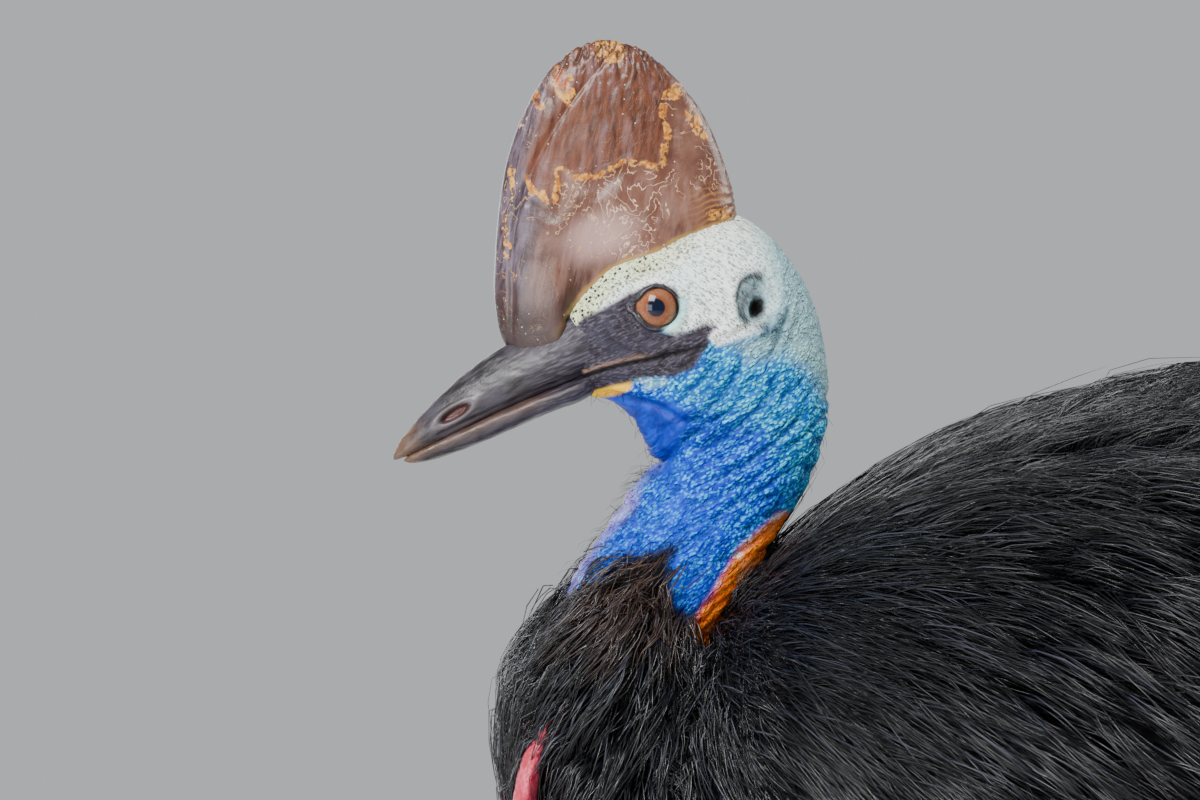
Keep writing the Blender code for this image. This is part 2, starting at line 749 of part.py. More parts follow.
def make_toe(name, angle, shift, length, root, tip, cutters):
    start, forward, across = toe_frame(angle, shift)
    rings = []
    for k in range(TOE_RINGS):
        t = k / (TOE_RINGS - 1)
        half = root + (tip - root) * t
        half *= 1 + TOE_BUMP * math.sin(2 * math.pi * TOE_BUMPS * t)
        rise = TOE_PLATE * (k % 2)
        tall = half * TOE_FLATNESS
        middle = tall * TOE_FLATNESS - TOE_SINK
        ring = []
        for j in range(TOE_SIDES):
            turn = 2 * math.pi * j / TOE_SIDES
            up = math.cos(turn)
            high = middle + (tall + (rise if up > TOE_PLATE_EDGE else 0.0)) * up
            ring.append(
                start + forward * length * t + across * half * math.sin(turn) + Vector((0, 0, max(0.0, high)))
            )
        rings.append(ring)
    toe = loft(name, rings)
    return combine(toe, "DIFFERENCE", cutters)


def make_claw(name, angle, shift, toe_length, tip_half, length, radius):
    """A horny claw, round on top, its point bent down to just over the floor."""
    toe_start, forward, across = toe_frame(angle, shift)
    start = toe_start + forward * (toe_length + GAP)
    root_middle = tip_half * TOE_FLATNESS ** 2
    rings = []
    for k in range(CLAW_RINGS):
        t = k / CLAW_RINGS
        size = radius * (1 - t) ** CLAW_TAPER
        middle = root_middle + CLAW_ARCH * math.sin(math.pi * t) - (root_middle - 2 * CLAW_ARCH) * t * t
        middle = max(middle, size + CLAW_CLEARANCE)
        ring = []
        for j in range(CLAW_SIDES):
            turn = 2 * math.pi * j / CLAW_SIDES
            outward = across * size * CLAW_NARROWNESS * math.sin(turn)
            ring.append(start + forward * length * t + outward + Vector((0, 0, middle + size * math.cos(turn))))
        rings.append(ring)
    point = start + forward * length + Vector((0, 0, CLAW_CLEARANCE * 2))
    return loft(name, rings + [[point]])


def end_slab(row, sign):
    """A thin slab over one end of a row of rings, to leave the gap to the next piece."""
    dorsal, ventral = side(*row[0:2]), side(*row[2:4])
    arm = (dorsal - ventral).normalized()
    thick = LEFT.cross(arm).normalized() * GAP * sign
    corners = []
    for end in (thick * -SLAB_DEPTH, thick):
        corners.append(
            [
                middle + end + LEFT * SLAB_REACH * out
                for middle, out in (
                    (dorsal + arm * SLAB_REACH, 1), (dorsal + arm * SLAB_REACH, -1),
                    (ventral - arm * SLAB_REACH, -1), (ventral - arm * SLAB_REACH, 1),
                )
            ]
        )
    return loft("slab", corners)


def swell_chest(chest):
    """Lets the core of the lower neck fill out from nothing at its upper end."""
    top = side(*CHEST_CORE_START)
    for vertex in chest.data.vertices:
        depth = min(1.0, (vertex.co - top).length / CHEST_CORE_RUN)
        full = max(0.0, depth - CHEST_CORE_BARE) / (1 - CHEST_CORE_BARE)
        vertex.co = vertex.co + vertex.normal * CHEST_CORE_DEPTH * full


def roots_along(surface, start, end, count):
    """Points spread evenly round a stem, where rays out of it meet the surface."""
    stem = (end - start).normalized()
    first = stem.cross(LEFT).normalized()
    second = stem.cross(first)
    for k in range(count):
        centre = start.lerp(end, (k + 0.5) / count)
        turn = k * GOLDEN_TURN
        out = first * math.cos(turn) + second * math.sin(turn)
        point = surface.ray_cast(centre, out)[0]
        if point is not None:
            yield point


def body_flow(point):
    """The lie of the coat: away from the base of the neck, then back and down."""
    spread = point - side(*NECK_BASE)
    parting = spread.normalized() * PARTING_REACH / max(PARTING_REACH, spread.length)
    return (parting + BACK + DOWN * COAT_FALL).normalized()


def leg_flow(_point):
    """Down the leg, and a little back, everywhere alike."""
    return (DOWN + BACK * LEG_COAT_BACK).normalized()


def tail_flow(point):
    """Back at first, then down: the tail's locks arch over and hang."""
    fall = max(0.0, (point.y - side(*TAIL_CENTRE).y) / TAIL_FALL_RUN + TAIL_FALL)
    return (BACK + DOWN * (TAIL_FALL + fall)).normalized()


def make_lock(surface, point, flow, size, chance):
    """One flat lock, three-sided, that follows the surface and lifts off it towards its tip."""
    length, half_width, rise = size
    length *= chance.uniform(*LOCK_LENGTHS) * MM
    half_width *= chance.uniform(*LOCK_WIDTHS) * MM
    turn = chance.uniform(-LOCK_TURN, LOCK_TURN)
    lift = chance.uniform(*LOCK_RISES) * rise * MM
    rings = []
    travelled = 0.0
    for share, wide, high, ridge in LOCK_ROWS + (LOCK_TIP,):
        near, normal, _, _ = surface.find_nearest(point)
        course = flow(near)
        course = (course - normal * course.dot(normal)).normalized()
        course = Matrix.Rotation(turn, 3, normal) @ course
        step = share * length - travelled
        travelled = share * length
        near, normal, _, _ = surface.find_nearest(near + course * step)
        course = (course - normal * course.dot(normal)).normalized()
        across = course.cross(normal).normalized()
        centre = near + normal * lift * high
        if wide:
            ring = [centre - across * half_width * wide, centre + across * half_width * wide]
            rings.append(ring + [centre + normal * ridge * MM])
        else:
            rings.append([centre])
        point = near
    return loft("lock", rings)


def grow_locks(core, surface, start, end, flow, locks_of):
    """Joins a node's locks to its core, and gives back their cutters. A buried root is left out."""
    seed, count, *size = locks_of
    chance = random.Random(seed)
    locks = []
    for point in roots_along(surface_of(core), start, end, count):
        if surface.find_nearest(point)[3] < BURIED:
            locks.append(make_lock(surface, point, flow, size, chance))
    return fuse(core, locks)


def make_materials():
    return {
        "skin": make_material("blue skin", (0.03, 0.22, 0.62), 0.5),
        "pale": make_material("pale head skin", (0.35, 0.55, 0.58), 0.55),
        "horn": make_material("brown horn", (0.20, 0.09, 0.055), 0.35),
        "bill": make_material("grey bill", (0.06, 0.05, 0.06), 0.35),
        "iris": make_material("brown eye", (0.35, 0.10, 0.03), 0.1),
        "red": make_material("red wattle", (0.55, 0.04, 0.07), 0.5),
        "coat": make_material("black plumage", (0.008, 0.008, 0.011), 0.45),
        "leg": make_material("scaled leg", (0.16, 0.14, 0.11), 0.6),
        "claw": make_material("black claw", (0.03, 0.027, 0.025), 0.35),
    }


def build_head(bird, looks):
    """The head with its bill, casque and eyes."""
    upper, lower = make_bill()
    head_plain = loft("head_plain", row_rings(HEAD_ROWS, HEAD_STEPS))
    bill_plain = plain_upper_bill("bill_plain")
    casque = make_casque([grown(head_plain), grown(bill_plain)])
    for half in (upper, lower):
        combine(half, "DIFFERENCE", [grown(head_plain)])
        add_part(half, bird, looks["bill"])
    for helper in (head_plain, bill_plain):
        bpy.data.objects.remove(helper)
    add_part(casque, bird, looks["horn"])
    add_part(make_head(), bird, looks["pale"])
    for name, out in (("eye_left", 1), ("eye_right", -1)):
        eye = ball(name, side(0, 0, out * EYE_OUT), (EYE_RADIUS,) * 3, segments=EYE_SEGMENTS, rings=EYE_RINGS)
        add_part(eye, bird, looks["iris"])


def grow_coat(body, chest, tail, thighs):
    """Covers the cores with locks that follow one surface over them all. Gives back the body's cutters."""
    flesh = copy_of(body)
    combine(flesh, "UNION", [copy_of(piece) for piece in (chest, tail, *thighs)])
    surface = surface_of(flesh)
    bpy.data.objects.remove(flesh)
    cutters = grow_locks(body, surface, body_point(-BACK), body_point(BACK), body_flow, TORSO_LOCKS)
    grow_locks(chest, surface, side(*CHEST_LOCKS_FROM), side(*CHEST_LOCKS_TO), body_flow, CHEST_LOCKS)
    tail_middle = side(*TAIL_CENTRE)
    tail_start = tail_middle - DOWN * TAIL_LOCK_REACH
    tail_end = tail_middle + DOWN * TAIL_LOCK_REACH / 2
    grow_locks(tail, surface, tail_start, tail_end, tail_flow, TAIL_LOCKS)
    low = leg_centre(THIGH_LOCK_FROM)
    high = leg_centre(THIGH_LOCK_FROM + THIGH_LOCK_SPAN)
    flip = Vector((-1, 1, 1))
    grow_locks(thighs[0], surface, high, low, leg_flow, LEFT_THIGH_LOCKS)
    grow_locks(thighs[1], surface, high * flip, low * flip, leg_flow, RIGHT_THIGH_LOCKS)
    return cutters


def build_trunk(bird, looks, shanks):
    """The neck, wattles, torso, wings, tail and thighs, whose locks lie round the bare shanks."""
    neck = loft("neck_upper", row_rings(NECK_ROWS, NECK_STEPS))
    combine(neck, "DIFFERENCE", [end_slab(NECK_ROWS[0], 1), end_slab(NECK_ROWS[-1], -1)])
    wattles = [make_wattle(1, "wattle_left"), make_wattle(-1, "wattle_right")]
    body = make_body("torso", TORSO_CORE_INSET)
    chest = loft("neck_lower", row_rings(LOWER_NECK_ROWS, NECK_STEPS))
    swell_chest(chest)
    tail = ball("tail", side(*TAIL_CENTRE), TAIL_SIZE, tilt=TAIL_TILT, segments=12, rings=8)
    thighs = [loft_thigh()]
    thighs.append(mirrored(thighs[0], "thigh_right"))
    body_cutters = grow_coat(body, chest, tail, thighs)

    envelope = make_body("envelope", 0.0)
    wing, wing_cutters = make_wing(surface_of(envelope))
    bpy.data.objects.remove(envelope)
    wings = [wing, mirrored(wing, "wing_right")]
    wing_cutters += [mirrored(cutter, cutter.name) for cutter in wing_cutters]
    neck_cutter = grown(neck)
    cut_clear(body, wing_cutters + [neck_cutter])
    cut_clear(chest, body_cutters + [grown(wattle) for wattle in wattles] + [neck_cutter])
    cut_clear(tail, body_cutters)
    for thigh, shank in zip(thighs, shanks):
        cut_clear(thigh, body_cutters + wing_cutters + [grown(shank)])
    for wattle in wattles:
        cut_clear(wattle, [neck_cutter])
        add_part(wattle, bird, looks["red"])
    add_part(neck, bird, looks["skin"])
    for piece in [body, chest, tail] + thighs + wings:
        add_part(piece, bird, looks["coat"])
    for helper in list(bpy.context.scene.collection.objects):
        if helper not in shanks:
            bpy.data.objects.remove(helper)


def build_feet(bird, looks, shanks):
    """The toes and claws, made on the left and mirrored, and the shanks that they start from."""
    middle_toe = None
    for toe_name, angle, shift, length, root, tip, claw_length, claw_radius in TOES:
        cutters = [grown(shanks[0])] + ([grown(middle_toe)] if middle_toe else [])
        toe = make_toe(f"toe_{toe_name}_left", angle, shift, length, root, tip, cutters)
        middle_toe = middle_toe or toe
        claw = make_claw(f"claw_{toe_name}_left", angle, shift, length, tip, claw_length, claw_radius)
        for piece, look in ((toe, looks["leg"]), (claw, looks["claw"])):
            add_part(mirrored(piece, piece.name.replace("left", "right")), bird, look)
            add_part(piece, bird, look)
    for shank in shanks:
        add_part(shank, bird, looks["leg"])


def main():
    clear_scene()
    bird = bpy.data.collections.new("cassowary")
    bpy.context.scene.collection.children.link(bird)
    looks = make_materials()
    build_head(bird, looks)
    shanks = [make_shank()]
    shanks.append(mirrored(shanks[0], "shank_right"))
    build_trunk(bird, looks, shanks)
    build_feet(bird, looks, shanks)


main()
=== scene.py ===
import math

import bmesh
import bpy
import numpy as np
from mathutils import Matrix, Vector, noise
from mathutils.bvhtree import BVHTree


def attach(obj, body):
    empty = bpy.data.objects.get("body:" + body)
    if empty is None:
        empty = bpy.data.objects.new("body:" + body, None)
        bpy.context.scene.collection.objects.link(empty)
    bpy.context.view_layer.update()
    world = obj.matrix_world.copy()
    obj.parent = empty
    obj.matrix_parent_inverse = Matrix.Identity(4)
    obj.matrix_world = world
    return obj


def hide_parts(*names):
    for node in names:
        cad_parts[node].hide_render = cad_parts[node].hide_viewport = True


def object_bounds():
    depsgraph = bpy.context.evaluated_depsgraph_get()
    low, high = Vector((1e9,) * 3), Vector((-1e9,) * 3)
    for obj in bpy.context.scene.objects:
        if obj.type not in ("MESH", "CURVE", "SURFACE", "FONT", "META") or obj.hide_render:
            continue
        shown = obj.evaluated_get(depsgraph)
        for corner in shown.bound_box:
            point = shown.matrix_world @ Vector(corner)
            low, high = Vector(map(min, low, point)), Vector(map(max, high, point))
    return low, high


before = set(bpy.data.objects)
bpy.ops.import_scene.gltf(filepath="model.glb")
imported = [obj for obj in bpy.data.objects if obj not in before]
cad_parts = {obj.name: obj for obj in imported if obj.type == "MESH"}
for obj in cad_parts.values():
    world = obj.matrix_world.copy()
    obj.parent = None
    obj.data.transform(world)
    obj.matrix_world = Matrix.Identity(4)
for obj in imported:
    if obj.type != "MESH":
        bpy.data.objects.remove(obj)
cadLow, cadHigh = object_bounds()
print("frame loaded")

# Side-view places are in millimetres behind and above the eye, as in the part.
bird = {"eyeY": -0.347, "eyeHeight": 1.030}


def side(behind, above, out=0.0):
    return Vector((out * 0.001, bird["eyeY"] + behind * 0.001, bird["eyeHeight"] + above * 0.001))


# General tools


def deselectAll():
    if bpy.context.object and bpy.context.object.mode != "OBJECT":
        bpy.ops.object.mode_set(mode="OBJECT")
    bpy.ops.object.select_all(action="DESELECT")


def makeActive(piece):
    deselectAll()
    piece.select_set(True)
    bpy.context.view_layer.objects.active = piece


def applyAll(piece):
    makeActive(piece)
    for modifier in list(piece.modifiers):
        bpy.ops.object.modifier_apply(modifier=modifier.name)


def subdivide(piece, levels):
    modifier = piece.modifiers.new("subdivide", "SUBSURF")
    modifier.levels = modifier.render_levels = levels
    modifier.boundary_smooth = "PRESERVE_CORNERS"
    applyAll(piece)


def unite(piece, others):
    for other in others:
        modifier = piece.modifiers.new("join", "BOOLEAN")
        modifier.operation, modifier.solver, modifier.object = "UNION", "MANIFOLD", other
        applyAll(piece)
    for other in others:
        bpy.data.objects.remove(other)


def inFixedOrder(piece):
    # The union keeps no fixed order of corners and faces, and the coat is sown by that order.
    points = pointsOf(piece)
    order = np.lexsort(np.round(points, 4).T)
    rank = np.empty(len(order), int)
    rank[order] = np.arange(len(order))
    faces = []
    for face in piece.data.polygons:
        corners = [int(rank[corner]) for corner in face.vertices]
        first = corners.index(min(corners))
        faces.append(corners[first:] + corners[:first])
    mesh = bpy.data.meshes.new(piece.name)
    mesh.from_pydata(np.round(points[order], 6).tolist(), [], sorted(faces))
    for layer in piece.data.attributes:
        if layer.domain == "POINT" and layer.data_type == "FLOAT":
            values = np.empty(len(order), np.float32)
            layer.data.foreach_get("value", values)
            mesh.attributes.new(layer.name, "FLOAT", "POINT").data.foreach_set("value", values[order])
    piece.data = mesh


def smoothRows(rows, steps):
    # Rows on a smooth curve through the given ones, steps to each.
    last = len(rows) - 1
    out = []
    for k in range(last * steps + 1):
        i = min(k // steps, last - 1)
        t = k / steps - i
        a, b, c, d = (np.array(rows[max(0, min(last, i + j))], float) for j in (-1, 0, 1, 2))
        out.append(0.5 * (2 * b + (c - a) * t + (2 * a - 5 * b + 4 * c - d) * t * t
                          + (3 * b - a - 3 * c + d) * t ** 3))
    return out


def turnsOf(sides):
    return [2 * math.pi * k / sides for k in range(sides)]


def spanRings(rows, sides, power=2.0):
    # A ring across each row: (behind, above) of its two ends, half width and fullness.
    rings = []
    for row in rows:
        dorsal, ventral = side(*row[:2]), side(*row[2:4])
        centre, arm = (dorsal + ventral) / 2, (dorsal - ventral) / 2
        ring = []
        for turn in turnsOf(sides):
            ways = math.cos(turn), math.sin(turn)
            along, across = (math.copysign(abs(way) ** (2 / power), way) for way in ways)
            ring.append(centre + arm * along + Vector((row[4] * 0.001 * across * (1 + row[5] * along), 0, 0)))
        rings.append(ring)
    return rings


def extrudeRings(name, rings, tip=None):
    # A closed skin drawn out ring by ring from a circle.
    piece = fresh(bpy.ops.mesh.primitive_circle_add, name,
                  vertices=len(rings[0]), radius=0.01, fill_type="NGON")
    for vertex, point in zip(piece.data.vertices, rings[0]):
        vertex.co = point
    bpy.ops.object.mode_set(mode="EDIT")
    bpy.ops.mesh.select_all(action="SELECT")
    drawn = rings[0]
    for ring in rings[1:]:
        bpy.ops.mesh.extrude_region_move()
        shape = bmesh.from_edit_mesh(piece.data)
        picked = [vertex for vertex in shape.verts if vertex.select]
        for k, point in enumerate(drawn):
            nearest = min(picked, key=lambda vertex: (vertex.co - point).length_squared)
            picked.remove(nearest)
            nearest.co = ring[k]
        bmesh.update_edit_mesh(piece.data)
        drawn = ring
    if tip is not None:
        bpy.ops.mesh.extrude_region_move()
        bpy.ops.mesh.merge(type="CENTER")
        shape = bmesh.from_edit_mesh(piece.data)
        for vertex in shape.verts:
            if vertex.select:
                vertex.co = tip
        bmesh.update_edit_mesh(piece.data)
    bpy.ops.mesh.select_all(action="SELECT")
    bpy.ops.mesh.normals_make_consistent(inside=False)
    bpy.ops.object.mode_set(mode="OBJECT")
    return piece


def pointsOf(piece):
    points = np.empty(len(piece.data.vertices) * 3)
    piece.data.vertices.foreach_get("co", points)
    return points.reshape(-1, 3)


def normalsOf(piece):
    normals = np.empty(len(piece.data.vertices) * 3)
    piece.data.vertex_normals.foreach_get("vector", normals)
    return normals.reshape(-1, 3)


def setPoints(piece, points):
    piece.data.vertices.foreach_set("co", points.reshape(-1))
    piece.data.update()


def push(points, normals, depth):
    # The points moved along their normals by a depth in millimetres.
    return points + normals * depth[:, None] * 0.001


def dress(piece, look):
    piece.data.materials.clear()
    piece.data.materials.append(look)
    makeActive(piece)
    bpy.ops.object.shade_smooth()
    return piece


def fresh(make, name, **settings):
    # A new mesh from one of Blender's own shapes.
    deselectAll()
    make(**settings)
    piece = bpy.context.object
    piece.name = piece.data.name = name
    return piece


def treeOf(piece):
    bpy.context.view_layer.update()
    return BVHTree.FromObject(piece, bpy.context.evaluated_depsgraph_get())


def paint(piece, name, values):
    # Keeps a mask from 0 to 1 on the piece, for its material.
    layer = piece.data.attributes.get(name) or piece.data.attributes.new(name, "FLOAT", "POINT")
    layer.data.foreach_set("value", np.asarray(values, float))


def sideView(points):
    # Places behind, above and out, in millimetres.
    behind = (points[:, 1] - bird["eyeY"]) * 1000
    above = (points[:, 2] - bird["eyeHeight"]) * 1000
    return behind, above, points[:, 0] * 1000


def lineDistance(behind, above, line):
    # Distance from a line in the side view, how far along it, and on which side.
    best = np.full(len(behind), 1e9)
    place = np.zeros(len(behind))
    sign = np.ones(len(behind))
    count = len(line) - 1
    for k in range(count):
        (ax, ay), (bx, by) = line[k], line[k + 1]
        dx, dy = bx - ax, by - ay
        t = np.clip(((behind - ax) * dx + (above - ay) * dy) / (dx * dx + dy * dy), 0, 1)
        away = np.hypot(behind - ax - dx * t, above - ay - dy * t)
        nearer = away < best
        best = np.where(nearer, away, best)
        place = np.where(nearer, (k + t) / count, place)
        sign = np.where(nearer, np.sign(dx * (above - ay) - dy * (behind - ax)), sign)
    return best, place, sign


def ramp(value, low, high):
    t = np.clip((value - low) / (high - low), 0, 1)
    return t * t * (3 - 2 * t)


def bell(away, width):
    return np.exp(-(away / width) ** 2)


def ovalDistance(behind, above, centre, radii, tilt):
    # Distance from the middle of an ellipse in the side view, 1 at its edge.
    c, s = math.cos(math.radians(tilt)), math.sin(math.radians(tilt))
    x, y = behind - centre[0], above - centre[1]
    return np.hypot((x * c + y * s) / radii[0], (-x * s + y * c) / radii[1])


def spot(behind, above, centre, radii, tilt=0.0, soft=0.3):
    # 1 inside an ellipse in the side view, 0 outside it, with a soft edge.
    return 1 - ramp(ovalDistance(behind, above, centre, radii, tilt), 1 - soft, 1 + soft)


def grain(points, scale, stretch=(1, 1, 1), seed=0.0):
    # Smooth noise from -1 to 1 at each point; scale is in grains per metre.
    spread = points * (np.array(stretch) * scale) + seed
    return np.array([noise.noise(Vector(p)) for p in spread])


def within(behind, above, outline):
    # How far inside a closed outline in the side view, in millimetres; less than 0 outside it.
    ring = list(outline) + [outline[0]]
    away, _, _ = lineDistance(behind, above, ring)
    inner = np.zeros(len(behind), bool)
    for (ax, ay), (bx, by) in zip(ring, ring[1:]):
        crosses = (ay > above) != (by > above)
        where = (bx - ax) * (above - ay) / ((by - ay) or 1e-9) + ax
        inner ^= crosses & (behind < where)
    return np.where(inner, away, -away)


def inside(behind, above, outline, soft=2.0):
    # 1 inside a closed outline in the side view, 0 outside it.
    return ramp(within(behind, above, outline), -soft, soft)


# The materials' building blocks

# The tree and the shader of the material being made.
bench = {"tree": None, "shader": None}


def newLook(name, colour, roughness, levels=None):
    look = bpy.data.materials.new(name)
    look.use_nodes = True
    bench.update(tree=look.node_tree, shader=look.node_tree.nodes["Principled BSDF"])
    for key, value in {"Base Color": colour, "Roughness": roughness, **(levels or {})}.items():
        plug(bench["shader"].inputs[key], value)
    return look


def plug(socket, value):
    if isinstance(value, bpy.types.NodeSocket):
        bench["tree"].links.new(value, socket)
    else:
        socket.default_value = (*value, 1) if socket.type == "RGBA" else value


def wire(**values):
    for key, value in values.items():
        plug(bench["shader"].inputs[{"colour": "Base Color", "roughness": "Roughness"}[key]], value)


def add(kind, values=None, **settings):
    node = bench["tree"].nodes.new("ShaderNode" + kind)
    for key, value in settings.items():
        setattr(node, key, value)
    for key, value in (values or {}).items():
        plug(node.inputs[key], value)
    return node


def calc(operation, a, b=0.0):
    return add("Math", {0: a, 1: b, 2: 0.0}, operation=operation).outputs[0]


def times(a, b):
    return calc("MULTIPLY", a, b)


def mix(factor, a, b):
    return add("Mix", {0: factor, 6: a, 7: b}, data_type="RGBA").outputs[2]


def over(under, *layers):
    # Colours laid over one another: each layer is (colour, mask) or (colour, mask, share of it).
    for colour, cover, *share in layers:
        under = mix(times(cover, share[0]) if share else cover, under, colour)
    return under


def reach(value, low, high, toLow=0.0, toHigh=1.0):
    return add("MapRange", {0: value, 1: low, 2: high, 3: toLow, 4: toHigh}).outputs[0]


def place(turn=(0, 0, 0), stretch=(1, 1, 1)):
    coords = add("TexCoord").outputs["Object"]
    turned = add("Mapping", {"Vector": coords, "Rotation": [math.radians(a) for a in turn]})
    return add("Mapping", {"Vector": turned.outputs[0], "Scale": stretch}).outputs[0]


def cloud(vector, scale, detail=4.0, rough=0.55, distortion=0.0):
    return add("TexNoise", {"Vector": vector, "Scale": scale, "Detail": detail, "Roughness": rough,
                            "Distortion": distortion}).outputs["Fac"]


def cells(vector, scale, feature="F1"):
    levels = {"Vector": vector, "Scale": scale, "Randomness": 1.0}
    return add("TexVoronoi", levels, feature=feature).outputs["Distance"]


def mask(name):
    return add("Attribute", attribute_name=name).outputs["Fac"]


def bumps(*layers):
    # Chains bump nodes: each layer is (height socket, strength, distance in metres).
    normal = None
    for height, strength, depth in layers:
        values = {"Height": height, "Strength": strength, "Distance": depth}
        if normal is not None:
            values["Normal"] = normal
        normal = add("Bump", values).outputs[0]
    plug(bench["shader"].inputs["Normal"], normal)


# The skin of the head, neck and body

skin = {
    "headRows": (
        (-48, -2, -34, -46, 16.0, 0.05), (-33, 18, -22, -47.5, 22.5, 0.14), (-11, 35, -13, -54, 27.0, 0.25),
        (14, 46, -8, -60, 31.0, 0.32), (40, 47, -5, -66, 34.5, 0.32), (61, 33, -3, -71, 35.5, 0.28),
        (77, 11, -1, -75, 34.5, 0.20), (85.5, -14, 0.5, -77, 33, 0.12),
    ),
    "neckRows": (
        (88, -40, 2, -78, 32.2, 0.08), (87.5, -62, 0, -80.5, 31.7, 0.06), (80.5, -84, -4.5, -85, 31.2, 0.04),
        (69.5, -104, -10.5, -92, 30.7, 0), (57, -124, -19, -105, 30.7, 0), (44.5, -145, -30, -122, 31.7, 0),
    ),
    "chestRows": (
        (31, -164, -41, -137, 33.5, 0), (27, -184, -47, -160, 35.5, 0), (26, -208, -50, -196, 38.5, 0),
        (36, -232, -49, -238, 43.5, 0), (62, -250, -38, -288, 51.5, 0), (105, -262, -6, -340, 61, 0),
        (160, -270, 52, -385, 67, 0),
    ),
    "sides": 24,
    "bodyInset": 33.0, "mantleFill": 30.0,
    "eyeOpening": 10.4,
    "gape": ((-58, -44), (-49, -40.5), (-42, -37.4), (-27, -31.8), (-13.6, -28.2), (0, -25.6),
             (12, -22.2), (23.5, -18.4)),
    "gapeDepth": 1.9,
    # Rings around the eye: (height, distance beyond its rim, width).
    "eyeRings": ((1.6, 2.4, 1.7), (-0.8, 6.0, 1.3), (0.5, 8.6, 1.6)),
    # The cup and the hole of the ear: (centre, radii, tilt, softness, depth).
    "ear": (((50, 3), (7.5, 11.5), -12, 0.55, 3.6), ((49.8, -0.4), (3.2, 5.2), -10, 0.35, 7.5)),
}

body = {
    "centre": (392, -272), "size": (232, 388, 250), "power": 2.4, "droop": 70, "chest": 0.26, "rump": 0.16,
}
tail = {"centre": (735, -365), "size": (88, 46, 128), "tilt": 18}
thigh = {
    "out": 0.114, "ball": 398.0, "inset": 9.0,
    "rows": ((0.660, -28, 92, 62), (0.590, -14, 88, 60), (0.520, 5, 76, 54), (0.465, 25, 56, 44),
             (0.425, 41, 37, 33), (0.405, 48, 29, 27)),
}


def bodyPoint(direction, inset=0.0):
    scale = sum(abs(part) ** body["power"] for part in direction) ** (-1 / body["power"])
    across, along, up = (part * scale for part in direction)
    narrow = 1 - body["chest"] * max(0, -along) ** 2 - body["rump"] * max(0, along) ** 2
    return side(
        body["centre"][0] + along * (body["size"][1] - inset),
        body["centre"][1] + up * (body["size"][2] - inset) - body["droop"] * max(0, along) ** 2,
        across * (body["size"][0] - inset) * narrow,
    )


def mantleShare(behind, above):
    # 1 at the front of the back, where the coat lies close behind the neck, 0 elsewhere.
    return ramp(behind, 12, 32) * (1 - ramp(behind, 60, 200)) * ramp(above, -330, -225)


def makeBody(name, inset):
    piece = fresh(bpy.ops.mesh.primitive_uv_sphere_add, name, segments=64, ring_count=40, radius=1,
                  rotation=(math.radians(90), 0, 0))
    bpy.ops.object.transform_apply(location=False, rotation=True, scale=False)
    for vertex in piece.data.vertices:
        way = vertex.co.normalized()
        vertex.co = bodyPoint(way, inset)
        if inset:
            behind, above, _ = sideView(np.array([vertex.co]))
            vertex.co = bodyPoint(way, inset - skin["mantleFill"] * float(mantleShare(behind, above)[0]))
    return piece


def ellipsoid(name, centre, size, tilt):
    piece = fresh(bpy.ops.mesh.primitive_uv_sphere_add, name, segments=32, ring_count=20, radius=1)
    turn = Matrix.Rotation(math.radians(tilt), 3, "X")
    for vertex in piece.data.vertices:
        vertex.co = centre + turn @ Vector([part * half * 0.001 for part, half in zip(vertex.co, size)])
    return piece


def levelRing(height, behind, halfLength, halfWidth, sideSign=1, inset=0.0, sides=20):
    points = []
    for turn in turnsOf(sides):
        x = thigh["out"] + (halfWidth - inset) * 0.001 * math.sin(turn)
        y = bird["eyeY"] + (thigh["ball"] + behind - (halfLength - inset) * math.cos(turn)) * 0.001
        points.append(Vector((x * sideSign, y, height)))
    return points


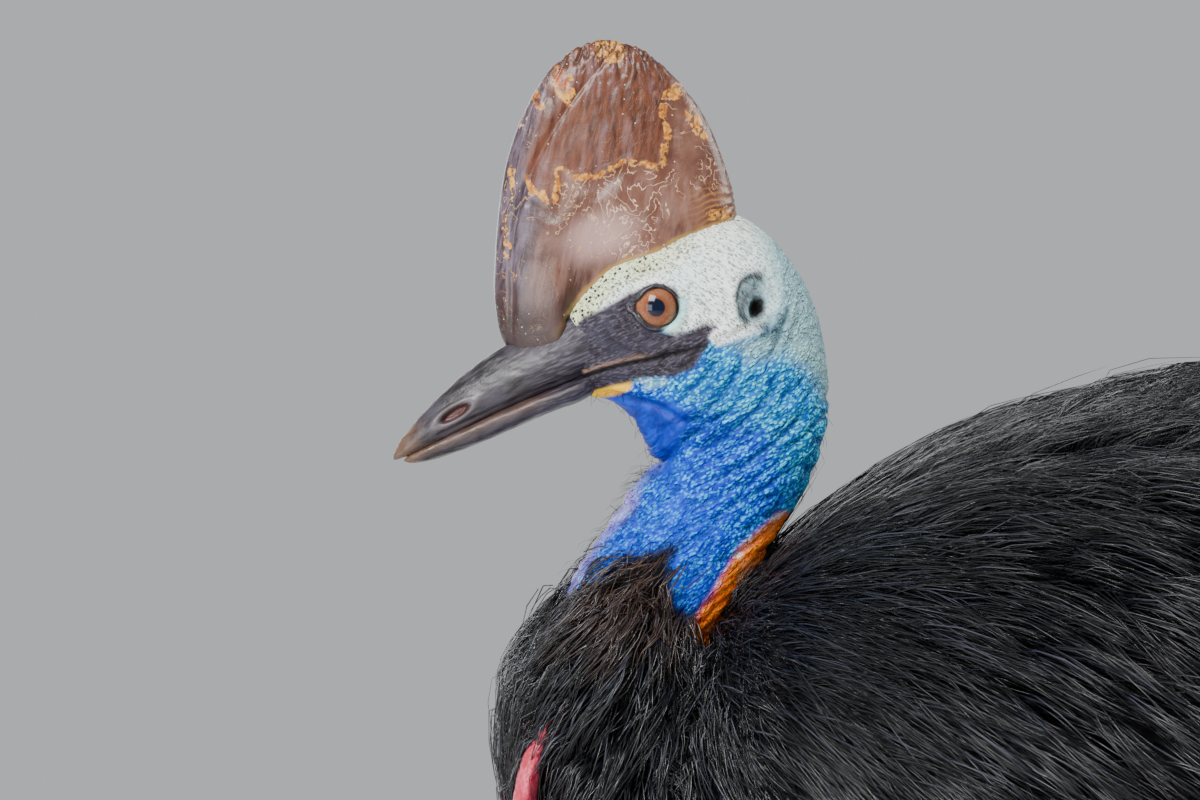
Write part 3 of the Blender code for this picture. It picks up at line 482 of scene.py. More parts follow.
def shapeFace(piece):
    # Gives the head its mouth line, eye sockets, ears, cheek and throat folds, and the neck its wrinkles.
    points = pointsOf(piece)
    normals = normalsOf(piece)
    behind, above, out = sideView(points)
    sideways = ramp(np.abs(normals[:, 0]), 0.15, 0.6)

    # Rows of the mesh gather on the mouth line, so that its groove is crisp.
    away, along, _ = lineDistance(behind, above, skin["gape"])
    onCheek = sideways * ramp(-np.abs(along - 0.5), -0.5, -0.45)
    pull = np.where(away < 6, 1 - (np.maximum(away, 1e-6) / 6) ** 0.8, 0) * onCheek
    gape = np.array(skin["gape"])
    spread = np.arange(len(gape))
    behind += (np.interp(along * spread[-1], spread, gape[:, 0]) - behind) * pull
    above += (np.interp(along * spread[-1], spread, gape[:, 1]) - above) * pull
    # They gather on the rim of the eye too.
    fromEye = np.hypot(behind, above)
    rim = skin["eyeOpening"]
    gather = np.where(np.abs(fromEye - rim) < 5, 1 - (np.abs(fromEye - rim) / 5) ** 0.8, 0) * (sideways > 0.2)
    scale = 1 + (rim / np.maximum(fromEye, 1e-6) - 1) * gather
    behind, above = behind * scale, above * scale
    points[:, 1] = bird["eyeY"] + behind * 0.001
    points[:, 2] = bird["eyeHeight"] + above * 0.001
    away, along, _ = lineDistance(behind, above, skin["gape"])
    fromEye = np.hypot(behind, above)

    fade = ramp(along, -0.01, 0.06) * (1 - 0.75 * ramp(along, 0.8, 1.0))
    depth = (0.9 * bell(away - 3.2, 1.8) - skin["gapeDepth"] * bell(away, 0.9)) * fade * sideways

    eyeSide = sideways > 0.2
    depth -= 6.5 * (1 - ramp(fromEye, rim - 1.2, rim + 0.4)) * eyeSide
    for height, beyond, width in skin["eyeRings"]:
        depth += height * bell(fromEye - rim - beyond, width) * eyeSide
    for centre, radii, tilt, soft, low in skin["ear"]:
        depth -= low * spot(behind, above, centre, radii, tilt, soft) * sideways
    frontRim = bell((behind - 40.5) + 0.05 * (above - 3) ** 2, 2.2) * ramp(-np.abs(above - 3), -14, -8)
    depth += 1.3 * frontRim * sideways

    shadedFolds = np.zeros(len(points))
    for line, width, low, lip in faceFolds:
        away, along, _ = lineDistance(behind, above, line)
        shown = ramp(-np.abs(along - 0.5), -0.5, -0.32) * sideways
        depth += (lip * bell(away - width * 1.9, width * 1.2) - low * bell(away, width)) * shown
        shadedFolds = np.maximum(shadedFolds, bell(away / width, 0.8) * shown * min(1, low / 1.2))

    onHead = ramp(above - 0.35 * behind, -75, -35)
    bare = 1 - ramp(-(above + 0.35 * behind), 150, 185)
    # The neck's skin lies in fine slanting folds, rising towards the nape.
    slant = np.stack([out * 0.35, behind * 0.84 + above * 0.54, above * 0.84 - behind * 0.54], 1)
    drift = np.stack([out * 0, grain(points, 30, seed=3.3) * 5, grain(points, 30, seed=7.7) * 5], 1)
    slant = slant + drift
    folds = ridged(slant, (0.03, 0.030, 0.14), 3.0) * 1.1 + ridged(slant, (0.06, 0.075, 0.31), 9.0) * 0.6
    depth += folds * (1 - onHead) * bare
    # The valleys of the neck's folds and the face's fold lines are painted darker through this mask: painted
    # shade in the creases.
    shadedCreases = np.clip((0.3 - folds) / 1.6, 0, 1) * (1 - onHead * ramp(-behind, -40, -10))
    paint(piece, "creaseShade", np.maximum(shadedCreases, shadedFolds))
    fine = ridged(slant, (0.05, 0.06, 0.25), 17.0)
    cheek = onHead * (1 - ramp(-behind, 5, 30))
    depth += 0.30 * fine * cheek * ramp(fromEye, rim + 2, rim + 8)
    depth += 0.18 * grain(points, 260, seed=5.0) * bare
    setPoints(piece, push(points, normals, depth))


def ridged(places, scale, seed):
    # Noise with sharp valleys, from about -1 to 0.6, drawn out along a slant.
    spread = places * np.array(scale) + seed
    values = np.array([noise.noise(Vector(p)) for p in spread])
    return 0.6 - 1.6 * np.exp(-(np.abs(values) / 0.12) ** 1.2)


# Folds seen on the face: (line, half width, depth, height of the lips), in millimetres.
faceFolds = (
    (((27.5, -16.5), (38, -13), (46.5, -9)), 1.5, 1.6, 0.7),
    (((66, 2), (65, -2.5), (61, -14), (56, -24), (49, -28)), 1.4, 1.2, 0.6),
    (((22, -19), (16, -27), (6, -34)), 1.5, 0.9, 0.5),
    (((30, -24), (22, -36), (10, -46)), 1.8, 1.2, 0.8),
    (((44, -22), (36, -38), (24, -52), (8, -62)), 2.2, 1.5, 1.0),
    (((62, -34), (50, -50), (34, -64), (14, -76)), 2.2, 1.4, 1.0),
    (((78, -48), (62, -64), (44, -78), (18, -90)), 2.0, 1.2, 0.9),
    (((-30, -42), (-14, -45.5), (0, -49), (12, -56), (26, -57), (40, -48)), 1.7, 2.0, 1.2),
    (((-2, -84), (6, -74), (16, -64), (30, -58)), 1.8, 1.6, 1.0),
    (((-30, -6), (-24, -16), (-14, -22), (0, -24)), 1.2, 0.7, 0.4),
    (((-26, 2), (-19, -10), (-9, -16), (4, -17)), 1.0, 0.6, 0.3),
    (((17, 8), (24, 2), (28, -8)), 1.0, 0.5, 0.3),
)

# Side-view outlines of the neck above the coat, and of the coat on it.
neckOutline = ((-140, 60), (110, 60), (96, -20), (93, -62), (86, -86), (75, -108), (62, -129), (50, -150),
               (38, -172), (-52, -172), (-60, -110),
               (-140, -90))
featherOutline = ((-140, -160), (-60, -150), (-45, -142), (-27, -127), (-7.5, -117), (8, -113),
                  (17, -112), (14, -122), (8, -134), (10, -143), (15, -151), (21, -160), (24, -169),
                  (60, -180), (60, -500),
                  (-140, -500))


def featherLine(behind, above):
    # How far a place on the neck is inside the edge of the plumage, in millimetres.
    return within(behind, above, featherOutline)


def onTrunk(points):
    # True for places on the body, as against the neck that runs into it.
    aways = [trunkTree.find_nearest(Vector(p), 0.01)[3] for p in points]
    return np.array([away is not None and away < 0.0012 for away in aways])


def makeSkin():
    rows = smoothRows(skin["headRows"] + skin["neckRows"] + skin["chestRows"][:1], 2)
    rows += [np.array(row, float) for row in skin["chestRows"][1:]]
    piece = extrudeRings("skin", spanRings(rows, skin["sides"]))
    subdivide(piece, 3)
    shapeFace(piece)
    parts = [makeBody("bodySkin", skin["bodyInset"])]
    trunk = treeOf(parts[0])
    parts.append(ellipsoid("tailSkin", side(*tail["centre"]), tail["size"], tail["tilt"]))
    for sign in (1, -1):
        rows = smoothRows(thigh["rows"], 3)
        rings = [levelRing(*row, sideSign=sign, inset=thigh["inset"] * min(1, k / 4 + 0.4) if k < 12 else 1.0)
                 for k, row in enumerate(rows)]
        parts.append(extrudeRings("thighSkin", rings))
    unite(piece, parts)
    inFixedOrder(piece)
    return piece, trunk


casqueBorder = ((-50, -14), (-42, -2.4), (-35, 6.8), (-22.8, 19), (-12.6, 23), (-0.4, 27), (13, 34),
                (28, 39.5), (40, 42))

# Where the colours of the face and neck lie in the side view: (name, outline, softness of its edge).
skinPatches = (
    ("darkFace", ((-70, -14), (-44, -14.6), (-37, -5.5), (-27, -0.4), (-19.7, 3.7), (-13.6, 7.3),
                  (-8, 9.5), (-4, 0), (0, -9), (8, -13.1), (16, -10.6), (24, -7), (29, -9.5), (24, -14.6),
                  (25, -18.7), (21, -24), (17, -31), (8, -35), (-0.4, -36), (-11.6, -39), (-27, -43),
                  (-38, -49), (-50, -56), (-80, -56)), 1.3),
    ("paleHead", ((-60, -14), (-60, 70), (44, 70), (58, 32), (64, 12), (58, -7), (49, -12.8), (40, -15.5),
                  (29, -18.7), (23, -15.7), (17, -13.5), (8, -17), (0, -6), (-8.5, 4), (-13.6, 3),
                  (-19.7, -1), (-27, -5), (-37, -10),
                  (-44.2, -19)), 1.5),
    ("greenBack", ((42, 60), (55, 24), (58, 8), (55, -9), (48, -14), (38, -18), (46, -26), (64, -22),
                   (74, -30), (82, -46), (120, -56),
                   (120, 60)), 7.0),
    ("turquoise", ((20, -16), (48, -12), (70, -14), (110, -20), (110, -110), (62, -112), (66, -84), (54, -62),
                   (34, -54), (10, -46), (2, -38), (16, -31), (22, -23)), 9.0),
    ("pouch", ((-24, -44), (-8.5, -45.3), (6, -47.3), (14, -51.4), (17, -56), (12, -64), (8, -84), (-20, -90),
               (-30, -60)), 2.0),
    ("nape", ((61, -104), (41, -120), (27, -142), (13, -164), (12, -190), (60, -190), (100, -110)), 2.2),
    ("frontStrip", ((-6, -88), (-8, -98), (-24, -116), (-36, -134), (-46, -150), (-60, -140),
                    (-30, -100)), 3.0),
    ("yellowStreak", ((-40, -45), (-27, -41.2), (-13.6, -38.1), (-12.6, -41.2), (-18, -44.6),
                      (-32, -48)), 1.0),
    ("paleStreak", ((-12.6, -38), (3, -35.5), (5, -39.5), (-6.5, -42.8)), 1.4),
    ("deepBlue", ((4, -84), (30, -96), (40, -112), (22, -150), (-20, -160), (-30, -130)), 14.0),
)


def darkSkin():
    # The fine lines of the dark face, which run on over the root of the bill, and its colour.
    lines = cloud(place((-24, 0, 0), (1, 0.06, 1)), 1000, 2, 0.5, 0.15)
    return lines, mix(reach(lines, 0.40, 0.58), (0.014, 0.010, 0.015), (0.046, 0.038, 0.054))


def makeSkinLook(piece):
    # Masks for the colours of the face and neck, then the material that uses them.
    points = pointsOf(piece)
    behind, above, out = sideView(points)
    wobble = grain(points, 120, seed=2.0) * 3 + grain(points, 40, seed=8.0) * 4
    b, a = behind + wobble * 0.5, above + wobble * 0.35
    fromCasque = lineDistance(behind, above, casqueBorder)[0]
    frontward = 1 - 0.75 * ramp(behind, -10, 30)
    paint(piece, "nearCasque", (1 - ramp(fromCasque + wobble * 0.5, 5, 14)) * frontward)
    for name, outline, soft in skinPatches:
        paint(piece, name, inside(b, a, outline, soft))
    ear = np.maximum(spot(b, a, (47, 5), (9, 13), -12, 0.4), spot(b, a, (58, -10), (9, 7), 0, 0.5))
    paint(piece, "ear", ear)
    # The ear's opening is painted near black: painted shade in the hole.
    paint(piece, "earHoleShade", spot(behind, above, (49.8, -0.4), (3.6, 5.6), -10, 0.3))
    fromEye, turn = np.hypot(behind, above), np.degrees(np.arctan2(above, behind))
    rearBelow = ramp(-np.abs(turn + 28), -62, -34)
    crescent = ramp(fromEye, 9.5, 10.5) * (1 - ramp(fromEye + wobble * 0.4, 12.2, 14.6))
    paint(piece, "crescent", rearBelow * crescent)
    paint(piece, "lid", (1 - ramp(fromEye, 10.8, 12.6)) * (1 - rearBelow))
    gapeAway, _, gapeSide = lineDistance(behind, above, skin["gape"])
    paint(piece, "lip", bell(gapeAway * gapeSide - 2.1, 0.8) * (1 - ramp(behind, -16, 2)))
    # The mouth groove is painted near black along the gape: painted shade in the groove.
    paint(piece, "gape", bell(gapeAway, 1.1))
    napeFront = dict((name, outline) for name, outline, _ in skinPatches)["nape"][:5]
    outlineAway = lineDistance(behind, above, napeFront)[0]
    paint(piece, "napeEdge", 1 - ramp(outlineAway + wobble * 0.4, 1.0, 4.0))
    earAway = np.hypot((behind - 47) / 8.5, (above - 4) / 11.5)
    paint(piece, "earRim", bell(earAway - 1.0, 0.16) * (1 - ramp(behind - 0.4 * above, 44, 50)))
    trunk = onTrunk(points) | (within(behind, above, neckOutline) < 0)
    # The skin under the coat is painted near black: painted shade deep in the plumage.
    paint(piece, "under", np.where(trunk, 1.0, ramp(featherLine(behind, above) + wobble, 0, 9)))

    look = newLook("bare skin", (0.03, 0.22, 0.65), 0.5, {"Specular IOR Level": 0.2})
    flat = place()
    slant = place((-30, 0, 0), (1.0, 0.62, 1.0))
    jitter = add("TexNoise", {"Vector": flat, "Scale": 300.0}).outputs["Color"]
    jitter = add("VectorMath", {0: jitter, 3: 0.0016}, operation="SCALE").outputs[0]
    warp = add("VectorMath", {0: slant, 1: jitter}, operation="ADD").outputs[0]
    raised = reach(cells(warp, 620), 0.20, 0.60, 1, 0)
    veins = cloud(slant, 160, 6, 0.6)
    patches = cloud(flat, 45, 4, 0.55)
    course = cloud(place((-30, 0, 0), (0.6, 0.32, 1)), 150, 3, 0.5, 0.7)
    fromFold = calc("ABSOLUTE", calc("SUBTRACT", course, 0.5))
    # Painted shade: the valleys between the skin's coarse folds, with the creases from the shape, darken the
    # colours below.
    valleyShade = reach(fromFold, 0.0, 0.035, 1, 0)
    ridge = reach(fromFold, 0.0, 0.06)
    creaseShade = calc("MAXIMUM", mask("creaseShade"), times(valleyShade, 0.8))
    deep = mix(mask("turquoise"), (0.0, 0.028, 0.40), (0.0, 0.13, 0.42))
    bright = over(mix(mask("turquoise"), (0.0, 0.20, 0.92), (0.01, 0.58, 0.86)),
                  ((0.0, 0.36, 0.88), reach(patches, 0.46, 0.62, 0, 0.7)))
    blue = mix(raised, deep, bright)
    # Pale crowns on the raised pebbles, away from the folds, are a painted highlight on their tops.
    crownHighlight = times(times(raised, ridge), reach(veins, 0.40, 0.54, 0.25, 1.0))
    crownHighlightColour = mix(mask("turquoise"), (0.05, 0.60, 1.0), (0.16, 0.86, 0.95))
    # Over the blue: the painted highlight on the pebbles' crowns, the deep-blue patch, and painted shade in
    # the creases.
    blue = over(blue, (crownHighlightColour, crownHighlight, 0.85), ((0.0, 0.060, 0.72), mask("deepBlue"), 0.40),
                ((0.0, 0.014, 0.18), creaseShade, 0.8))
    smoothBlue = mix(reach(veins, 0.4, 0.6), (0.0, 0.014, 0.26), (0.0, 0.040, 0.44))
    blue = over(blue, (smoothBlue, mask("pouch")))
    strip = mix(reach(veins, 0.4, 0.6), (0.26, 0.10, 0.46), (0.52, 0.40, 0.72))
    blue = over(blue, (strip, mask("frontStrip"), 0.55))
    # The orange is darkened in the creases: painted shade.
    orange = over(mix(raised, (1.0, 0.15, 0.002), (1.0, 0.40, 0.010)),
                  ((0.95, 0.42, 0.16), reach(patches, 0.56, 0.66, 0, 0.55)),
                  ((0.45, 0.030, 0.003), creaseShade, 0.40))
    pink = mix(reach(patches, 0.44, 0.56), (0.75, 0.05, 0.14), (0.95, 0.74, 0.70))
    orange = over(orange, (pink, mask("napeEdge"), reach(veins, 0.47, 0.56)))
    blue = over(blue, (orange, mask("nape")))

    leaning = place((35, 0, 0), (1, 0.5, 1))
    specks = reach(cells(leaning, 820), 0.22, 0.44, 1, 0)
    bigSpecks = reach(cells(flat, 420), 0.26, 0.40, 1, 0)
    bristles = reach(cloud(place((35, 0, 0), (1, 0.14, 1)), 1000, 2, 0.5), 0.54, 0.62)
    white = mix(reach(patches, 0.35, 0.65), (0.93, 0.96, 0.92), (0.74, 0.86, 0.84))
    yellowed = mix(reach(patches, 0.4, 0.6), (0.50, 0.50, 0.14), (0.72, 0.80, 0.44))
    white = over(white, (yellowed, mask("nearCasque"), 0.8), ((0.12, 0.18, 0.18), bristles, 0.55),
                 ((0.03, 0.045, 0.045), specks, 0.72))
    dots = times(bigSpecks, mask("nearCasque"))
    white = over(white, ((0.010, 0.014, 0.018), dots))
    skinColour = mix(mask("paleHead"), blue, white)
    # The green is darkened in the creases: painted shade.
    green = over(mix(reach(raised, 0, 1, 0.2, 0.9), (0.17, 0.36, 0.37), (0.56, 0.80, 0.77)),
                 ((0.06, 0.12, 0.13), specks, 0.35), ((0.03, 0.08, 0.11), creaseShade, 0.35))
    skinColour = over(skinColour, (green, mask("greenBack"), 0.9))
    lines, dark = darkSkin()
    # The pale streaks along the dark face's wrinkle lines are a painted highlight, and its creases are
    # painted darker as painted shade.
    dark = over(dark, ((0.044, 0.042, 0.068), reach(patches, 0.46, 0.62, 0, 0.5)),
                ((0.22, 0.20, 0.28), reach(lines, 0.56, 0.66), 0.18),
                ((0.006, 0.004, 0.006), mask("creaseShade"), 0.6))
    skinColour = over(skinColour, (dark, mask("darkFace")), ((0.92, 0.50, 0.002), mask("yellowStreak")))
    paleBlue = mix(raised, (0.08, 0.28, 0.46), (0.50, 0.78, 0.84))
    skinColour = over(skinColour, (paleBlue, mask("paleStreak")))
    mottled = mix(reach(veins, 0.42, 0.58), (0.018, 0.05, 0.075), (0.20, 0.38, 0.44))
    skinColour = over(skinColour, (mottled, mask("ear"), 0.8))
    rimHairs = times(mask("earRim"), reach(veins, 0.36, 0.50))
    # The ear rim's bristles are their own colour; the ear's opening is painted near black as painted shade in
    # the hole.
    skinColour = over(skinColour, ((0.008, 0.010, 0.014), rimHairs), ((0.006, 0.004, 0.004), mask("earHoleShade")))
    crescent = mix(reach(veins, 0.40, 0.56), (0.10, 0.42, 0.46), (0.42, 0.80, 0.74))
    skinColour = over(skinColour, (crescent, mask("crescent"), 0.9), ((0.012, 0.010, 0.014), mask("lid")))
    skinColour = over(skinColour, ((0.34, 0.20, 0.13), mask("lip"), reach(lines, 0.34, 0.5, 0.3, 0.9)))
    # Painted shade: the mouth groove is painted near black.
    skinColour = over(skinColour, ((0.006, 0.004, 0.006), mask("gape"), 0.9),
                      # Painted shade: the skin under the coat is near black.
                      ((0.008, 0.007, 0.009), mask("under")))
    wire(colour=skinColour)
    wire(roughness=calc("MAXIMUM", reach(patches, 0.3, 0.7, 0.42, 0.62), times(mask("under"), 0.95)))
    smoothSkin = calc("MAXIMUM", mask("paleHead"), mask("pouch"))
    pebbled = calc("SUBTRACT", 1.0, calc("MAXIMUM", smoothSkin, mask("darkFace")))
    bumps((times(ridge, pebbled), 0.7, 0.0010), (times(raised, pebbled), 0.8, 0.0006), (veins, 0.5, 0.0008),
          (times(lines, mask("darkFace")), 0.45, 0.0006), (specks, 0.4, -0.0003),
          (cloud(flat, 900, 3), 0.25, 0.0003))
    dress(piece, look)


birdSkin, trunkTree = makeSkin()
makeSkinLook(birdSkin)
print("skin made", len(birdSkin.data.polygons))

# The casque

casque = {
    "rows": (
        (-66, -34, 44, 24, 20.0), (-77, -14, 43, 43, 23.0), (-79.5, 8, 41, 54, 23.0),
        (-79.3, 22, 39.5, 61, 21.0), (-77, 52, 34, 78, 17.5), (-71, 80, 25, 97, 14.0),
        (-61.5, 102, 14, 111, 11.0), (-51, 118.5, 2, 122.5, 8.0), (-38, 129, -8, 129.5, 5.0),
    ),
    "crest": (-21, 133.0),
    "fullness": -0.12, "sides": 28,
    "flakeLine": ((-46, 128), (-52, 114), (-56, 100), (-60, 86), (-65, 72), (-65, 66), (-61, 58.5),
                  (-54.5, 53), (-52, 52.3), (-50.5, 54), (-49, 61), (-49.5, 66), (-46.5, 68.5), (-40.5, 66),
                  (-29, 64.5), (-22.5, 70), (-15, 73), (-3.5, 70), (1.5, 67.8), (3, 69), (4, 78.5),
                  (6.5, 86.5), (3.5, 95), (5.5, 106), (12, 110),
                  (24, 108)),
    "patches": (((-45, 110), (5.2, 10.5), 20), ((-57.5, 102), (2.8, 5.5), 15), ((10.5, 106), (5, 3.5), 0),
                ((21, 90), (2.6, 9), 38), ((-22, 127), (8, 6), 5), ((-70.5, 62), (1.5, 9), -5),
                ((-74, 34), (1.3, 13), 4), ((33, 46), (8, 3.5), 8)),
    "cores": (((-46, 113), (3.4, 7.0)), ((-58, 102), (2.0, 4.2))),
}


def makeCasque():
    rows = [(*row, casque["fullness"]) for row in smoothRows(casque["rows"], 2)]
    piece = extrudeRings("casqueHorn", spanRings(rows, casque["sides"]), side(*casque["crest"]))
    subdivide(piece, 3)
    points, normals = pointsOf(piece), normalsOf(piece)
    behind, above, _ = sideView(points)
    wobble = grain(points, 150, seed=1.0) * 2.2 + grain(points, 500, seed=4.0) * 0.9
    away, along, sign = lineDistance(behind, above + wobble, casque["flakeLine"])
    onFlake = ramp(along, 0.185, 0.23) * (1 - ramp(along, 0.94, 1.0))
    lower = np.where(along < 0.23, ramp(-away * sign, -4, 4), ramp(-away * sign, -0.7, 0.7))
    depth = (0.5 * bell(away, 1.2) - 0.9 * lower * (1 - ramp(away, 4, 13))) * onFlake
    depth += 0.25 * grain(points, 260, (1, 1, 0.25), 3.0) * (1 - lower)
    depth += 0.35 * grain(points, 70, (1, 1, 1), 6.0)
    # The front edge leans back with height; a keel runs along it, with a groove behind the keel.
    lean = np.maximum(0, above - 20) ** 2
    depth += 0.5 * ramp(-(behind + 79 - 0.004 * lean), -9, -4)
    depth -= 0.9 * bell(behind + 71.5 - 0.0045 * lean, 1.4)
    top = ramp(above - 0.10 * np.abs(behind + 20), 108, 124)
    cracks = np.array([noise.noise(Vector((p[1] * 430, 0.3, p[2] * 90))) for p in points])
    pits = bell(np.abs(cracks), 0.12) * top
    depth -= 1.0 * pits - 0.6 * top * grain(points, 330, seed=12.0)
    depth -= 0.45 * bell(np.abs(grain(points, 200, (1, 1, 0.14), 14.0)), 0.10) * ramp(above, 62, 110)
    border, _, borderSide = lineDistance(behind, above, casqueBorder)
    border = border * borderSide
    layers = (border + grain(points, 60, seed=21.0) * 6 + wobble * 0.5) / 5.0
    rear = ramp(behind + 0.4 * above, 26, 52) * (1 - ramp(border, 14, 24))
    depth += (np.abs((layers % 1.0) - 0.5) * 0.9 - 0.2) * rear
    points = push(points, normals, depth)
    setPoints(piece, points)
    paint(piece, "lower", lower)
    flakeWidth = 0.9 + 1.5 * np.clip(0.3 + 1.3 * grain(points, 55, seed=31.0), 0, 1)
    paint(piece, "flake", bell(away, flakeWidth) * onFlake)
    spots = np.zeros(len(points))
    for centre, radii, tilt in casque["patches"]:
        spots = np.maximum(spots, spot(behind + wobble, above + wobble, centre, radii, tilt, 0.35))
    paint(piece, "ochre", spots)
    paint(piece, "frontBand", (1 - ramp(behind + 79 - 0.0042 * lean, 10, 22)) * ramp(above, -10, 20))
    paint(piece, "rearBase", rear)
    paint(piece, "border", 1 - ramp(np.abs(border) + wobble * 0.5, 0.8, 2.8))
    paint(piece, "fromBorder", border / 10)
    # The pits near the crest are painted dark through this mask: painted shade in the pits.
    paint(piece, "cracks", pits)
    cores = [spot(behind + wobble * 0.6, above + wobble * 0.6, at, size, 15, 0.5)
             for at, size in casque["cores"]]
    paint(piece, "cores", np.maximum(*cores))
    # A pale pink spot low on the casque: partly the horn's pinkish tone, partly a painted highlight.
    paint(piece, "pinkishHighlight", spot(behind, above, (-28, 35), (16, 10), 24, 0.7))
    paint(piece, "billward", 1 - ramp(above + 0.35 * (behind + 66) + wobble, -12, 24))

    look = newLook("casque horn", (0.2, 0.1, 0.07), 0.35,
                   {"Specular IOR Level": 0.35, "Coat Weight": 0.25, "Coat Roughness": 0.2})
    flat = place()
    tall = place((12, 0, 0), (1, 1, 0.16))
    fibres = cloud(tall, 420, 5, 0.65)
    broad = cloud(flat, 38, 4, 0.6)
    upper = over(mix(reach(fibres, 0.36, 0.62), (0.040, 0.010, 0.004), (0.145, 0.044, 0.018)),
                 ((0.12, 0.030, 0.013), reach(broad, 0.42, 0.60, 0, 0.6)))
    sheen = times(reach(cloud(tall, 160, 3, 0.5), 0.54, 0.68), 0.55)
    upper = over(upper, ((0.22, 0.115, 0.115), sheen))

    # Worn layers of horn: contour lines of a noise, gathered along the border, each layer of its own tone.
    rough = cloud(flat, 46, 4, 0.58, 0.5)
    height = calc("ADD", times(rough, 10.0), times(mask("fromBorder"), 0.9))
    step = calc("FRACT", height)
    lines = reach(calc("ABSOLUTE", calc("SUBTRACT", step, 0.5)), 0.42, 0.47)
    gate = reach(cloud(place((40, 0, 0)), 34, 3, 0.6), 0.49, 0.55)
    lines = times(lines, gate)
    tone = calc("FRACT", times(calc("FLOOR", height), 0.37))
    base = over(mix(reach(broad, 0.38, 0.62), (0.060, 0.020, 0.012), (0.17, 0.076, 0.050)),
                ((0.11, 0.036, 0.022), tone, times(gate, 0.6)))
    streaks = reach(cloud(tall, 150, 4, 0.6), 0.5, 0.64, 0, 0.45)
    # The pale pink spot is partly a painted highlight.
    base = over(base, ((0.26, 0.145, 0.12), streaks), ((0.48, 0.30, 0.28), mask("pinkishHighlight"), 0.75))
    mauve = mix(reach(fibres, 0.38, 0.62), (0.028, 0.021, 0.032), (0.135, 0.105, 0.145))
    base = over(base, (mauve, mask("frontBand"), 0.85))
    cream = mix(reach(broad, 0.4, 0.6), (0.50, 0.24, 0.07), (0.74, 0.52, 0.33))
    base = over(base, (cream, lines, 0.8))
    horn = mix(mask("lower"), upper, base)
    ragged = times(mask("flake"), reach(cloud(flat, 300, 3), 0.36, 0.5))
    gold = mix(reach(cloud(flat, 420, 3), 0.4, 0.6), (0.38, 0.11, 0.010), (0.66, 0.32, 0.055))
    horn = over(horn, (gold, reach(ragged, 0.25, 0.5)))
    ochre = times(mask("ochre"), reach(cloud(flat, 210, 4, 0.7), 0.42, 0.54))
    horn = over(horn, (gold, reach(ochre, 0.3, 0.6)))
    core = mix(reach(cloud(flat, 260, 3), 0.44, 0.54), (0.022, 0.012, 0.010), (0.34, 0.06, 0.008))
    horn = over(horn, (core, mask("cores")))
    bands = calc("FRACT", calc("ADD", times(mask("fromBorder"), 3.4), times(broad, 3.0)))
    bands = times(mask("rearBase"), reach(bands, 0.55, 0.7))
    horn = over(horn, ((0.34, 0.13, 0.03), bands, 0.7), ((0.36, 0.21, 0.05), mask("border"), 0.75),
                ((0.024, 0.015, 0.018), mask("billward"), 0.85),
                # Painted shade: the pits near the crest are darkened.
                ((0.025, 0.010, 0.008), mask("cracks"), 0.85))
    flecks = reach(cells(flat, 210), 0.05, 0.09, 1, 0)
    horn = over(horn, ((0.75, 0.68, 0.6), flecks, 0.7))
    wire(colour=horn)
    wire(roughness=reach(mask("lower"), 0, 1, 0.40, 0.27))
    bumps((fibres, 0.4, 0.0006), (lines, 0.35, 0.0004), (step, 0.25, 0.0004),
          (cloud(flat, 700, 3), 0.2, 0.0003))
    return dress(piece, look)


def sideOf(tree, y, z, sign):
    # How far out the side of a piece lies at a place in the side view, or 0 where it does not reach.
    hit, _, _, _ = tree.ray_cast(Vector((0.08 * sign, y, z)), Vector((-sign, 0, 0)))
    return max(0.0, hit.x * sign) if hit else 0.0


def seatCasque():
    # The casque rises flush out of the skin along its border, and each goes under the other beyond it.
    steps = 81
    line = np.array([side(*at) for at in casqueBorder])
    spread = np.linspace(0, len(line) - 1, steps)
    course = [np.interp(spread, np.arange(len(line)), line[:, axis]) for axis in (1, 2)]
    trees = treeOf(casquePiece), treeOf(birdSkin)
    proud = np.array([sideOf(trees[0], y, z, 1) - sideOf(trees[1], y, z, 1) for y, z in zip(*course)])
    proud = np.convolve(np.pad(np.clip(proud, -0.001, 0.008), 6, "edge"), np.full(13, 1 / 13), "valid")

    def measure(piece):
        points = pointsOf(piece)
        behind, above, out = sideView(points)
        away, along, sign = lineDistance(behind, above, casqueBorder)
        fade = ramp(behind, -50, -38) * (1 - ramp(behind, 42, 47)) * ramp(np.abs(out), 2, 6)
        return points, away * sign, along, fade

    points, away, along, fade = measure(casquePiece)
    lower = np.interp(along, np.linspace(0, 1, steps), proud) * (1 - ramp(away, 0, 26)) * fade
    points[:, 0] -= np.sign(points[:, 0]) * np.minimum(lower, np.abs(points[:, 0]) * 0.6)
    setPoints(casquePiece, points)
    for piece, other, way in ((birdSkin, casquePiece, 1), (casquePiece, birdSkin, -1)):
        tree = treeOf(other)
        points, away, along, fade = measure(piece)
        away = away * way
        for k in np.nonzero((away > 0) & (away < 12) & (fade > 0))[0]:
            sign = 1 if points[k, 0] > 0 else -1
            own, their = abs(points[k, 0]), sideOf(tree, points[k, 1], points[k, 2], sign)
            if their > 0.004:
                target = max(own - 0.006, min(own, their - 0.0012 * min(1.0, away[k] / 1.2)))
                points[k, 0] = sign * (own + (target - own) * fade[k])
        setPoints(piece, points)


casquePiece = makeCasque()
seatCasque()
print("casque made", len(casquePiece.data.polygons))

# The bill

